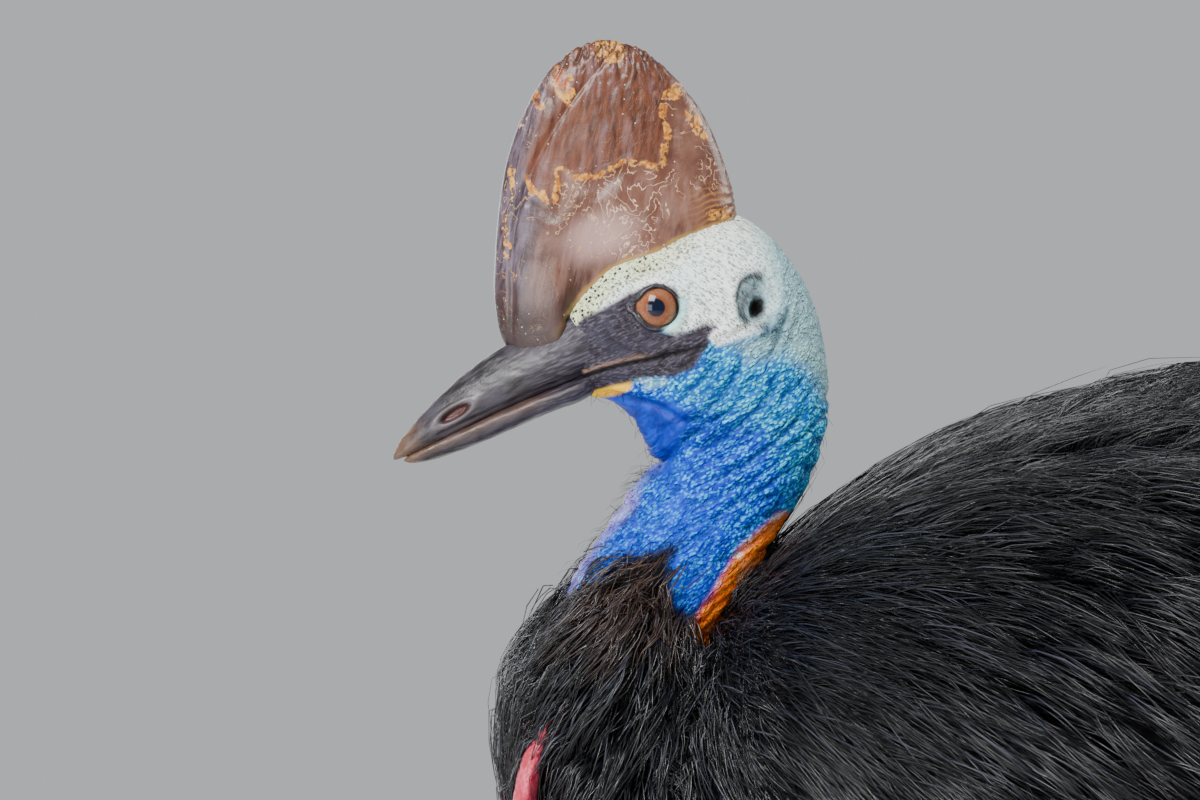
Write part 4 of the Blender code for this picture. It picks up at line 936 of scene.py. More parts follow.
bill = {
    "upper": (
        (-28, 14, -22, -35, 20.5, 0.0), (-40, 4, -32, -36.5, 19.6, -0.05),
        (-48.5, -2, -36, -38, 18.4, -0.20), (-62, -12.5, -48, -42, 16, -0.30),
        (-78, -21.5, -66, -49.5, 13.5, -0.35), (-93, -32.5, -84, -57.5, 11, -0.35),
        (-107, -45, -101, -65.5, 9, -0.30), (-119, -57.5, -114.5, -71.5, 7, -0.25),
        (-126.5, -67, -124, -75.5, 4.5, -0.15), (-129.5, -73, -128.5, -77, 2.0, 0),
    ),
    "upperTip": (-130.3, -77.0),
    "lower": (
        (-30, -32, -28, -43, 12.0, 0.10), (-38, -35.2, -37, -48.5, 16.4, 0.10),
        (-48.5, -39.2, -48, -52, 15.9, 0.10), (-67, -46.8, -66, -60, 13.2, 0.10),
        (-85, -55.0, -84.5, -68, 10.2, 0.10), (-102, -63.4, -101.5, -74.4, 7.8, 0.10),
        (-115, -69.9, -114.5, -78.2, 5.4, 0.10), (-122, -73.9, -122, -78.6, 2.9, 0),
    ),
    "lowerTip": (-125.5, -77.6),
    "nostril": ((-100, -53.4), (8.2, 2.6), 32), "sides": 20,
    "tomium": ((-36, -38.5), (-48, -42.5), (-66, -50), (-84, -58), (-101, -66), (-114.5, -72), (-124, -76)),
}


def makeBillLook():
    look = newLook("bill horn", (0.05, 0.045, 0.05), 0.32,
                   {"Specular IOR Level": 0.4, "Coat Weight": 0.1, "Coat Roughness": 0.25})
    flat = place()
    grooves = cloud(place((-32, 0, 0), (1, 0.12, 1)), 520, 5, 0.6)
    broad = cloud(flat, 60, 4, 0.6)
    horn = over(mix(reach(grooves, 0.38, 0.60), (0.006, 0.005, 0.007), (0.040, 0.033, 0.040)),
                ((0.062, 0.054, 0.078), reach(broad, 0.46, 0.66, 0, 0.5)))
    lines, dark = darkSkin()
    # The pale streaks along the wrinkle lines at the bill's root are a painted highlight.
    dark = over(dark, ((0.19, 0.16, 0.21), reach(lines, 0.56, 0.66), 0.25))
    horn = over(horn, (dark, mask("base")), ((0.085, 0.042, 0.024), mask("edge"), 0.75),
                ((0.16, 0.085, 0.045), mask("tip"), 0.6), ((0.075, 0.018, 0.014), mask("nostril")),
                ((0.15, 0.125, 0.13), mask("rim"), 0.5))
    wire(colour=horn)
    wire(roughness=calc("MAXIMUM", reach(broad, 0.35, 0.65, 0.28, 0.48), times(mask("base"), 0.5)))
    bumps((grooves, 0.45, 0.0006), (cloud(flat, 800, 3), 0.3, 0.0003))
    return look


def makeBillHalf(name, rows, tip, power, look):
    piece = extrudeRings(name, spanRings(smoothRows(rows, 2), bill["sides"], power), side(*tip))
    subdivide(piece, 3)
    points, normals = pointsOf(piece), normalsOf(piece)
    behind, above, _ = sideView(points)
    away = lineDistance(behind, above, bill["tomium"])[0]
    sideways = ramp(np.abs(normals[:, 0]), 0.1, 0.5)
    depth = 0.30 * grain(points, 210, (1, 0.25, 1), 3.0)
    depth += 0.16 * grain(points, 620, (1, 0.2, 1), 8.0)
    slot = rim = np.zeros(len(points))
    if name == "billUpper":
        fromMiddle = ovalDistance(behind, above, *bill["nostril"])
        slot = (1 - ramp(fromMiddle, 0.75, 1.1)) * sideways
        rim = bell(fromMiddle - 1.45, 0.35) * sideways
        depth -= 3.2 * slot - 0.7 * rim
        depth -= 0.7 * bell(away - 4.5, 1.1) * sideways * ramp(behind, -118, -100)
    depth += 0.2 * bell(away, 1.4) * sideways
    points = push(points, normals, depth)
    setPoints(piece, points)
    paint(piece, "nostril", slot)
    paint(piece, "rim", rim)
    paint(piece, "base", ramp(behind + 0.3 * grain(points, 150) * 10, -72, -50))
    paint(piece, "edge", bell(away, 2.4) * (1 - ramp(behind, -66, -44)))
    paint(piece, "tip", 1 - ramp(behind + grain(points, 200) * 4, -126, -112))
    return dress(piece, look)


billLook = makeBillLook()
billUpper = makeBillHalf("billUpper", bill["upper"], bill["upperTip"], 1.9, billLook)
billLower = makeBillHalf("billLower", bill["lower"], bill["lowerTip"], 2.2, billLook)
print("bill made")

# The eyes

eye = {"out": 19.0, "radius": 14.4, "forward": 6, "iris": 10.3, "pupil": 4.2, "cornea": 0.8}


def makeEye(name, sign, look):
    piece = fresh(bpy.ops.mesh.primitive_uv_sphere_add, name, segments=64, ring_count=48,
                  radius=eye["radius"] * 0.001)
    forward = math.radians(eye["forward"])
    turn = Vector((sign * math.cos(forward), -math.sin(forward), 0)).to_track_quat("Z", "Y").to_matrix()
    points = pointsOf(piece)
    fromAxis = np.hypot(points[:, 0], points[:, 1]) * 1000
    front = points[:, 2] > 0
    bulge = np.where(front, eye["cornea"] * np.clip(1 - (fromAxis / 10.5) ** 2, 0, 1), 0)
    radius = np.linalg.norm(points, axis=1, keepdims=True)
    points += points / radius * bulge[:, None] * 0.001
    fromAxis = np.where(front, fromAxis, 20.0)
    angle = np.arctan2(points[:, 1], points[:, 0])
    points = points @ np.array(turn.transposed()) + np.array(side(0, 0, sign * eye["out"]))
    setPoints(piece, points)
    paint(piece, "fromPupil", fromAxis / 20)
    paint(piece, "turnRound", angle)
    return dress(piece, look)


def makeEyeLook():
    look = newLook("wet eye", (0.3, 0.1, 0.03), 0.12,
                   {"Specular IOR Level": 0.15, "Coat Weight": 0.4, "Coat Roughness": 0.02})
    away = times(mask("fromPupil"), 20.0)
    turn = mask("turnRound")
    around = {0: calc("SINE", turn), 1: calc("COSINE", turn), 2: times(away, 0.03)}
    fibres = cloud(add("CombineXYZ", around).outputs[0], 22, 4, 0.6)
    iris = over(mix(reach(fibres, 0.3, 0.7), (0.15, 0.048, 0.022), (0.34, 0.135, 0.066)),
                ((0.16, 0.040, 0.012), reach(away, 4.6, 7.0, 0.85, 0.0)),
                ((0.035, 0.010, 0.006), reach(away, eye["iris"] - 1.3, eye["iris"])))
    pupil = mix(reach(away, eye["pupil"] - 0.2, eye["pupil"] + 0.3), (0.0, 0.003, 0.016), iris)
    wire(colour=pupil)
    return look


lid = {
    "major": 72, "minor": 16, "inner": 9.6, "thick": 1.7, "wide": 1.45,
    "front": (178, 3.6, 18), "rear": (-38, 2.6, 24),
}


def makeLid(name, sign, look):
    # The thick lids, drawn out to a corner before and behind the eye.
    piece = fresh(bpy.ops.mesh.primitive_torus_add, name, major_segments=lid["major"],
                  minor_segments=lid["minor"], major_radius=0.0115, minor_radius=0.002)
    points = pointsOf(piece)
    angle = np.arctan2(points[:, 1], points[:, 0])
    ringAway = np.hypot(points[:, 0], points[:, 1]) - 0.0115
    height = points[:, 2]
    turnDegrees = np.degrees(angle)
    corner = np.zeros(len(points))
    for middle, far, spread in (lid["front"], lid["rear"]):
        off = (turnDegrees - middle + 180) % 360 - 180
        corner += far * bell(off, spread)
    tube = lid["wide"] + corner * 0.55
    middle = lid["inner"] + tube + 0.25 * np.sin(angle * 9) * (ringAway > 0)
    radius = middle + ringAway / 0.002 * tube
    behind, above = radius * np.cos(angle), radius * np.sin(angle) * 0.97
    ball = (eye["radius"] + 0.2) ** 2 - np.minimum(middle, 13) ** 2
    surfaceOut = eye["out"] + 1.3 + np.sqrt(np.clip(ball, 4, None))
    out = surfaceOut + height / 0.002 * lid["thick"] - 0.4 * corner
    out += 0.35 * np.sin(radius * 2.6 + angle * 2) * (height > 0)
    points = np.stack([sign * out * 0.001, bird["eyeY"] + behind * 0.001,
                       bird["eyeHeight"] + above * 0.001], 1)
    setPoints(piece, points)
    if sign < 0:
        piece.data.flip_normals()
    pale = ramp(-np.abs((turnDegrees + 28 + 180) % 360 - 180), -60, -34) * ramp(radius, 10.2, 11.0)
    paint(piece, "paleLid", pale)
    return dress(piece, look)


def makeLidLook():
    look = newLook("eyelid", (0.012, 0.011, 0.014), 0.38)
    wrinkles = cloud(place(), 700, 4)
    black = mix(reach(wrinkles, 0.4, 0.65), (0.006, 0.006, 0.008), (0.045, 0.04, 0.05))
    pale = mix(reach(wrinkles, 0.4, 0.6), (0.40, 0.78, 0.72), (0.10, 0.46, 0.50))
    wire(colour=mix(mask("paleLid"), black, pale))
    bumps((wrinkles, 0.5, 0.0004))
    return look


lidLook = makeLidLook()
lids = [makeLid("lidsLeft", 1, lidLook), makeLid("lidsRight", -1, lidLook)]
eyeLook = makeEyeLook()
eyes = [makeEye("eyeballLeft", 1, eyeLook), makeEye("eyeballRight", -1, eyeLook)]
print("eyes made")

# The wattles

wattle = {
    "path": ((-16, -140), (-20, -152), (-25, -168), (-31, -184), (-44, -201), (-62, -221), (-68, -246),
             (-75, -290)),
    "out": (8, 10, 12, 14, 20, 31, 34, 31), "wide": (4, 5, 6, 8, 10, 12, 14, 10),
    "deep": (3, 3, 3, 3.5, 4.2, 5.0, 5.5, 4.0), "end": 7, "sides": 16,
}


def makeWattle(name, sign, look):
    rows = smoothRows([(*place, *rest) for place, *rest in zip(wattle["path"], wattle["out"], wattle["wide"],
                                                               wattle["deep"])], 3)
    rings = []
    for k, (behind, above, out, wide, deep) in enumerate(rows):
        ahead, back = rows[min(k + 1, len(rows) - 1)], rows[max(k - 1, 0)]
        along = (side(ahead[0], ahead[1]) - side(back[0], back[1])).normalized()
        front = along.cross(Vector((1, 0, 0))).normalized()
        ring = []
        for turn in turnsOf(wattle["sides"]):
            fold = 1 + 0.2 * math.cos(3 * turn + 0.25 * k)
            across = Vector((sign * wide * math.cos(turn), 0, 0))
            around = (across + front * deep * fold * math.sin(turn)) * 0.001
            ring.append(side(behind, above, sign * out) + around)
        rings.append(ring)
    behind, above = wattle["path"][-1]
    piece = extrudeRings(name, rings, side(behind, above - wattle["end"], sign * wattle["out"][-1]))
    subdivide(piece, 2)
    points = pointsOf(piece)
    lumps = ridged(points * 1000, (0.16, 0.16, 0.11), 4.0 + sign)
    depth = 0.55 * lumps + 0.5 * grain(points, 130, (1, 1, 0.4), 9.0 + sign)
    setPoints(piece, push(points, normalsOf(piece), depth))
    return dress(piece, look)


def makeWattleLook():
    look = newLook("red wattle skin", (0.6, 0.05, 0.1), 0.45,
                   {"Subsurface Weight": 0.15, "Subsurface Radius": (0.004, 0.001, 0.001)})
    flat = place()
    pebbles = cells(flat, 620, feature="SMOOTH_F1")
    broad = cloud(flat, 70, 4)
    red = over(mix(reach(broad, 0.4, 0.62), (0.50, 0.02, 0.055), (0.74, 0.10, 0.17)),
               ((0.36, 0.01, 0.03), reach(pebbles, 0.3, 0.8, 0, 0.6)))
    wire(colour=red)
    bumps((pebbles, 0.7, -0.0008), (cloud(flat, 300, 4), 0.4, 0.0006))
    return look


wattleLook = makeWattleLook()
wattles = [makeWattle("wattleSkinLeft", 1, wattleLook), makeWattle("wattleSkinRight", -1, wattleLook)]
print("wattles made")

# The legs and feet

leg = {
    "rows": ((0.435, 38, 27, 25), (0.4045, 48, 28.5, 26.5), (0.385, 52, 31, 28), (0.360, 53, 30, 27),
             (0.330, 48, 24, 22), (0.290, 41, 20, 17.5), (0.200, 27, 19, 16.5), (0.110, 13, 20, 17.5),
             (0.075, 7, 24, 21), (0.045, 2, 30.5, 27.5), (0.020, 0, 33, 31), (0.001, 0, 29, 28)),
    "scutes": (0.352, 0.062, 22), "scuteRise": 1.5, "rearScutes": 30, "rearRise": 0.6,
    "shankSides": 14, "toeSides": 14, "toeRings": 13,
}

# Toes: (name, angle and start outwards, length, half width at root and tip, claw length and radius, scutes).
toes = (
    ("Middle", 2, 0.000, 0.158, 0.0190, 0.0135, 0.044, 0.0110, 19),
    ("Inner", -23, -0.014, 0.096, 0.0165, 0.0125, 0.094, 0.0105, 11),
    ("Outer", 33, 0.014, 0.112, 0.0165, 0.0115, 0.032, 0.0095, 14),
)


def plates(along, count, rise, lap=0.75):
    # Overlapping plates: each rises slowly along its length and ends in a step.
    place = (along * count) % 1.0
    return rise * np.where(place < lap, place / lap, (1 - place) / (1 - lap))


def makeShank(sign):
    rings = [levelRing(*row, sideSign=sign, sides=leg["shankSides"]) for row in smoothRows(leg["rows"], 3)]
    piece = extrudeRings("shankSkin", rings)
    subdivide(piece, 3)
    points, normals = pointsOf(piece), normalsOf(piece)
    high, low, count = leg["scutes"]
    heights = points[:, 2]
    along = (high - heights) / (high - low)
    span = ramp(along, -0.02, 0.02) * (1 - ramp(along, 0.98, 1.02))
    rows = np.array(leg["rows"])[::-1]
    centre = bird["eyeY"] + (thigh["ball"] + np.interp(heights, rows[:, 0], rows[:, 1])) * 0.001
    turn = np.arctan2((points[:, 0] * sign - thigh["out"]), centre - points[:, 1])
    front = ramp(np.cos(turn + 0.12 * np.sin(heights * 60)), 0.38, 0.52)
    rear = ramp(-np.cos(turn), 0.5, 0.62)
    depth = span * front * plates(along, count, leg["scuteRise"])
    depth += span * rear * plates(along + 0.01, leg["rearScutes"], leg["rearRise"])
    scales = np.array([noise.voronoi(Vector(p) * 240)[0][0] for p in points])
    onSides = (1 - front * span) * (1 - rear * span)
    depth += onSides * (0.9 - 1.5 * np.clip(scales, 0, 0.8)) * 0.9
    depth += 0.5 * grain(points, 60, seed=4.0)
    depth *= ramp(heights, 0.004, 0.016)
    setPoints(piece, push(points, normals, depth))
    return piece


def toeFrame(sign, angle, shift):
    a = math.radians(angle)
    forward = Vector((math.sin(a) * sign, -math.cos(a), 0))
    across = Vector((math.cos(a) * sign, math.sin(a), 0))
    ball = Vector(((thigh["out"] + shift) * sign, bird["eyeY"] + thigh["ball"] * 0.001, 0))
    return ball + forward * 0.018, forward, across


def makeToe(sign, angle, shift, length, root, tip, scutes):
    start, forward, across = toeFrame(sign, angle, shift)
    rings = []
    last = leg["toeRings"] - 1
    for k in range(last + 1):
        t = k / last
        half = (root + (tip - root) * t) * (1 + 0.07 * math.sin(6 * math.pi * t))
        if k == last:
            half *= 0.86
        tall = half * 0.92
        ring = []
        for turn in turnsOf(leg["toeSides"]):
            high = max(0.0006, tall * 0.92 + tall * math.cos(turn))
            ring.append(start + forward * length * t + across * half * math.sin(turn) + Vector((0, 0, high)))
        rings.append(ring)
    piece = extrudeRings("toe", rings)
    subdivide(piece, 3)
    points, normals = pointsOf(piece), normalsOf(piece)
    along = (points - np.array(start)) @ np.array(forward) / length
    upward = normals[:, 2]
    top = ramp(upward, 0.25, 0.5) * ramp(along, 0.05, 0.12)
    under = ramp(-upward, -0.1, 0.3)
    depth = top * plates(along, scutes, 1.0)
    scales = np.array([noise.voronoi(Vector(p) * 330)[0][0] for p in points])
    depth += (1 - top) * (1 - under) * (0.8 - 1.4 * np.clip(scales, 0, 0.8)) * 0.7
    points = push(points, normals, depth)
    points[:, 2] = np.maximum(points[:, 2], 0.0005 + 0.0006 * np.abs(np.sin(along * 40)) * under)
    setPoints(piece, points)
    return piece


def makeClaw(name, look, sign, angle, shift, length, tip, clawLength, clawRadius):
    start, forward, across = toeFrame(sign, angle, shift)
    start = start + forward * (length - 0.004)
    reachTo = clawLength + 0.004
    middleHeight = tip * 0.92 * 0.92
    rings = []
    for k in range(12):
        t = k / 12
        size = clawRadius * (1 - t) ** 0.75
        middle = middleHeight + 0.002 * math.sin(math.pi * t) - (middleHeight - 0.004) * t * t
        middle = max(middle, size + 0.0015)
        ring = []
        for turn in turnsOf(leg["toeSides"]):
            wide, flat = (0.82, 1.0) if math.cos(turn) > 0 else (0.70, 0.86)
            ring.append(start + forward * reachTo * t + across * size * wide * math.sin(turn)
                        + Vector((0, 0, middle + size * flat * math.cos(turn))))
        rings.append(ring)
    point = start + forward * reachTo + Vector((0, 0, 0.003))
    piece = extrudeRings(name, rings, point)
    subdivide(piece, 2)
    points, normals = pointsOf(piece), normalsOf(piece)
    along = (points - np.array(start)) @ np.array(forward) / reachTo
    depth = 0.35 * grain(points, 330, (1, 0.35, 1), 2.0) + 0.35 * np.exp(-(((along - 0.16) * 12) ** 2))
    setPoints(piece, push(points, normals, depth))
    paint(piece, "worn", ramp(along + grain(points, 150) * 0.08, 0.55, 1.0))
    return dress(piece, look)


def legSeams(points, normals, sign):
    # The dark seams between the scutes of the shank and toes.
    high, low, count = leg["scutes"]
    along = (high - points[:, 2]) / (high - low)
    onTop = (normals[:, 2] > 0.25) & (points[:, 2] < 0.045)
    inFront = ramp(-normals[:, 1], 0.15, 0.5) * (along > 0) * (along < 1)
    seams = inFront * bell((along * count) % 1.0 - 0.9, 0.12) * 0.8
    for _, angle, shift, length, root, _, _, _, scutes in toes:
        start, forward, across = toeFrame(sign, angle, shift)
        onward = (points - np.array(start)) @ np.array(forward) / length
        aside = np.abs((points - np.array(start)) @ np.array(across))
        onToe = onTop & (onward > 0.08) & (onward < 1) & (aside < root)
        seams = np.maximum(seams, np.where(onToe, bell((onward * scutes) % 1.0 - 0.92, 0.12), 0))
    return seams


def makeLegLook():
    look = newLook("leg scales", (0.14, 0.12, 0.09), 0.55)
    flat = place()
    edges = reach(cells(flat, 240, feature="DISTANCE_TO_EDGE"), 0.0, 0.10)
    broad = cloud(flat, 24, 5, 0.6)
    fine = cloud(flat, 420, 4)
    scale = over(mix(reach(broad, 0.38, 0.64), (0.105, 0.088, 0.062), (0.20, 0.175, 0.13)),
                 ((0.27, 0.245, 0.19), reach(fine, 0.4, 0.66, 0, 0.5)))
    scale = mix(times(calc("SUBTRACT", 1.0, edges), 0.7), scale, (0.035, 0.028, 0.022))
    scale = over(scale, ((0.030, 0.024, 0.018), mask("seams"), 0.75))
    wire(colour=scale)
    bumps((edges, 0.5, 0.0006), (fine, 0.35, 0.0005))
    return look


def makeClawLook():
    look = newLook("claw horn", (0.02, 0.018, 0.016), 0.33)
    streaks = cloud(place((0, 0, 8), (1, 0.12, 1)), 500, 4)
    horn = over(mix(reach(streaks, 0.4, 0.62), (0.008, 0.007, 0.007), (0.035, 0.030, 0.026)),
                ((0.14, 0.11, 0.08), mask("worn"), 0.6))
    wire(colour=horn)
    bumps((streaks, 0.4, 0.0004), (cloud(place(), 700, 3), 0.3, 0.0003))
    return look


def makeLegs():
    skinLook, hornLook = makeLegLook(), makeClawLook()
    made = []
    for sign, name in ((1, "Left"), (-1, "Right")):
        shank = makeShank(sign)
        unite(shank, [makeToe(sign, *toe[1:6], toe[8]) for toe in toes])
        shank.name = shank.data.name = "legSkin" + name
        paint(shank, "seams", legSeams(pointsOf(shank), normalsOf(shank), sign))
        low = name.lower()
        nodes = ["shank_" + low] + [f"toe_{toe[0].lower()}_{low}" for toe in toes]
        made.append((dress(shank, skinLook), "leg_scales", nodes))
        for toe, angle, shift, length, _, tip, clawLength, clawRadius, _ in toes:
            claw = makeClaw(f"claw{toe}{name}", hornLook, sign, angle, shift, length,
                            tip, clawLength, clawRadius)
            made.append((claw, "claw_horn", [f"claw_{toe.lower()}_{low}"]))
    return made


legPieces = makeLegs()
print("legs made", sum(len(piece.data.polygons) for piece, _, _ in legPieces))

# The wings, short arms with bare quills

wing = {
    "centre": (262, -262), "out": 189, "quills": 5, "length": 0.25, "radius": 0.0026, "steps": 20,
    "roots": ((20, -22), (50, -6)), "ways": ((0.35, 1.15), (1.10, 0.80)), "lift": 0.030, "rootLift": -0.014,
    "quillSides": 8, "armSides": 12, "armSizes": (13, 15, 14, 12, 11, 11, 10, 9, 6),
}


def makeQuill(spread, sign, surface):
    # One bare quill, arching out of the coat and down over the flank.
    (b0, a0), (b1, a1) = wing["roots"]
    (w0, d0), (w1, d1) = wing["ways"]
    behind, above = wing["centre"]
    point = side(behind + b0 + (b1 - b0) * spread, above + a0 + (a1 - a0) * spread, 206)
    course = Vector((0, w0 + (w1 - w0) * spread, -(d0 + (d1 - d0) * spread))).normalized()
    length = wing["length"] * (0.8 + 0.2 * math.sin(math.pi * spread))
    steps = wing["steps"]
    rings = []
    for j in range(steps + 1):
        t = j / steps
        near, normal, _, _ = surface.find_nearest(point)
        centre = near + normal * (wing["rootLift"] + wing["lift"] * math.sin(math.pi / 2 * min(1, t / 0.5)))
        flat = (course - normal * course.dot(normal)).normalized()
        across = flat.cross(normal).normalized()
        radius = wing["radius"] * (1 - 0.75 * t) * (1 + 0.05 * math.sin(j * 1.9))
        ring = [centre + (across * math.cos(turn) + normal * math.sin(turn) * 0.8) * radius
                for turn in turnsOf(wing["quillSides"])]
        rings.append([Vector((p.x * sign, p.y, p.z)) for p in ring])
        course = (course + Vector((0, 0, -1)) * 0.6 / steps).normalized()
        point = near + flat * (length / steps)
    tip = sum(rings[-1], Vector()) / wing["quillSides"] + (rings[-1][0] - rings[-2][0])
    return extrudeRings("quill", rings[:-1], tip)


def makeWings():
    envelope = makeBody("envelope", 0.0)
    surface = treeOf(envelope)
    bpy.data.objects.remove(envelope)
    look = newLook("wing quill", (0.012, 0.011, 0.011), 0.3)
    shade = cloud(place((40, 0, 0), (1, 0.15, 1)), 260, 4)
    wire(colour=mix(reach(shade, 0.4, 0.62), (0.005, 0.005, 0.006), (0.035, 0.030, 0.028)))
    bumps((shade, 0.35, 0.0003))
    made = []
    for sign, name in ((1, "Left"), (-1, "Right")):
        rings = []
        for k, size in enumerate(wing["armSizes"]):
            t = k / (len(wing["armSizes"]) - 1)
            centre = side(wing["centre"][0] - 52 + 108 * t, wing["centre"][1] + 18 - 30 * t,
                          wing["out"] - 16 + 18 * math.sin(math.pi * t))
            rings.append([Vector(((centre.x + 0.0006 * size * math.cos(a)) * sign, centre.y,
                                  centre.z + 0.001 * size * math.sin(a)))
                          for a in turnsOf(wing["armSides"])])
        arm = extrudeRings("wing" + name, rings)
        subdivide(arm, 2)
        quills = [makeQuill(k / (wing["quills"] - 1), sign, surface) for k in range(wing["quills"])]
        for quill in quills:
            subdivide(quill, 1)
        deselectAll()
        for piece in quills + [arm]:
            piece.select_set(True)
        bpy.context.view_layer.objects.active = arm
        bpy.ops.object.join()
        made.append((dress(arm, look), "plumage", ["wing_" + name.lower()]))
    return made


wingPieces = makeWings()
print("wings made")

# The coat

coat = {
    "seed": 11,
    "fineStrands": 38000, "broadStrands": 25000, "finePerTuft": 8, "broadPerTuft": 9,
    "fineLength": (62, 104), "broadLength": (120, 175),
    "fineWidth": 0.85, "broadWidth": 1.9,
    "guideSteps": 8, "rings": 4,
    "neckBase": (22, -172), "fall": 0.75,
    # Where fine strands give way to broad ones (Y), where the legs begin and the lowest strand ends (Z).
    "fineEnds": -0.02, "legTop": 0.56, "lowest": 0.35,
    "perPiece": 7000,
    "widthShares": (0.8, 1.0, 0.85, 0.55),
    "fineSpread": (6.0, 3.2), "broadSpread": (11.5, 6.5), "stray": 0.03,
}


def coatFlow(point):
    # The lie of the feathers: away from the base of the neck, then back and down.
    base = side(*coat["neckBase"])
    if point.y > side(640, 0).y:
        drop = max(0.0, (point.y - side(tail["centre"][0], 0).y) / 0.05 + 0.5)
        return (Vector((0, 1, 0)) + Vector((0, 0, -1)) * (0.5 + drop)).normalized()
    if point.z < coat["legTop"] and abs(point.x) > 0.04 and 0.0 < point.y < 0.2:
        return Vector((0, 0.25, -1)).normalized()
    behind, above = (point.y - bird["eyeY"]) * 1000, (point.z - bird["eyeHeight"]) * 1000
    spread = point - base
    away = min(1.0, max(0.0, (spread.length - 0.03) / 0.26))
    fan = spread.normalized() * (1.15 - away)
    lie = (fan + (Vector((0, 1, 0)) + Vector((0, 0, -1)) * coat["fall"]) * (0.12 + away)).normalized()
    if behind < 48 and above > -270:
        away = (point - side(18, -106)).normalized()
        drop = min(0.75, max(0.0, (-above - 200) / 110))
        breast = Vector((0, away.y, min(away.z, -0.05))) * (1 - drop) + Vector((0, 0.05, -1)) * drop
        share = min(1.0, max(0.0, (48 - behind) / 34))
        lie = (breast.normalized() * share + lie * (1 - share)).normalized()
    return lie


def coatDepth(points):
    # The thickness of the coat over the skin, in metres.
    behind, above, _ = sideView(points)
    below = featherLine(behind, above)
    onNeck = (behind < 60) & (above > -330)
    neck = 4 + 27 * ramp(below, 0, 46) ** 0.7
    trunk = skin["bodyInset"] - 3.0 - 24 * mantleShare(behind, above)
    depth = np.where(onNeck, np.minimum(neck, trunk), trunk)
    high = points[:, 2]
    return np.where(high < coat["legTop"], 8 + 14 * ramp(high, 0.42, coat["legTop"]), depth) * 0.001


def sampleRoots(piece, random, count, weightOf):
    mesh = piece.data
    mesh.calc_loop_triangles()
    corners = np.empty(len(mesh.loop_triangles) * 3, np.int32)
    mesh.loop_triangles.foreach_get("vertices", corners)
    points = pointsOf(piece)
    a, b, c = (points[corners.reshape(-1, 3)[:, k]] for k in range(3))
    area = np.linalg.norm(np.cross(b - a, c - a), axis=1) / 2
    weight = area * weightOf((a + b + c) / 3)
    picked = random.choice(len(area), count, p=weight / weight.sum())
    r1, r2 = np.sqrt(random.random((count, 1))), random.random((count, 1))
    return a[picked] * (1 - r1) + b[picked] * (r1 * (1 - r2)) + c[picked] * (r1 * r2)


def featherShare(points):
    # The density of the feathers, which thin out over the last millimetres at their edge on the neck.
    behind, above, _ = sideView(points)
    trunk = onTrunk(points) | (within(behind, above, neckOutline) < 0)
    return np.where(trunk, 1.0, ramp(featherLine(behind, above), -5, 9)) * (points[:, 2] > 0.425)


def combGuides(surface, roots, lengths, lifts, quick, random):
    # A path for each tuft, from its root along the lie of the feathers.
    steps = coat["guideSteps"]
    paths = np.empty((len(roots), steps, 3))
    ups = np.empty_like(paths)
    turns = random.normal(0, math.radians(5.5), len(roots))
    for k, root in enumerate(roots):
        point = Vector(root)
        near, normal, _, _ = surface.find_nearest(point)
        up = normal
        stride = lengths[k] / (steps - 1)
        for j in range(steps):
            t = j / (steps - 1)
            up = (up * 0.55 + normal * 0.45).normalized()
            paths[k, j] = near
            ups[k, j] = up
            course = coatFlow(near)
            course = course - normal * course.dot(normal)
            course = Matrix.Rotation(turns[k], 3, normal) @ course.normalized()
            near, normal, _, _ = surface.find_nearest(near + course * stride)
    # A guide that jumps across a fold of the skin is left out.
    calm = np.linalg.norm(np.diff(paths, axis=1), axis=2).max(1) < 1.9 * lengths / (steps - 1)
    t = np.linspace(0, 1, steps)
    rise = lifts[:, None] * (1 - (1 - np.minimum(1, t[None, :] / quick[:, None])) ** 2)
    thick = coatDepth(paths.reshape(-1, 3)).reshape(rise.shape)
    paths += ups * (rise * thick - 0.0015 * (1 - t)[None, :])[..., None]
    return paths, ups, calm


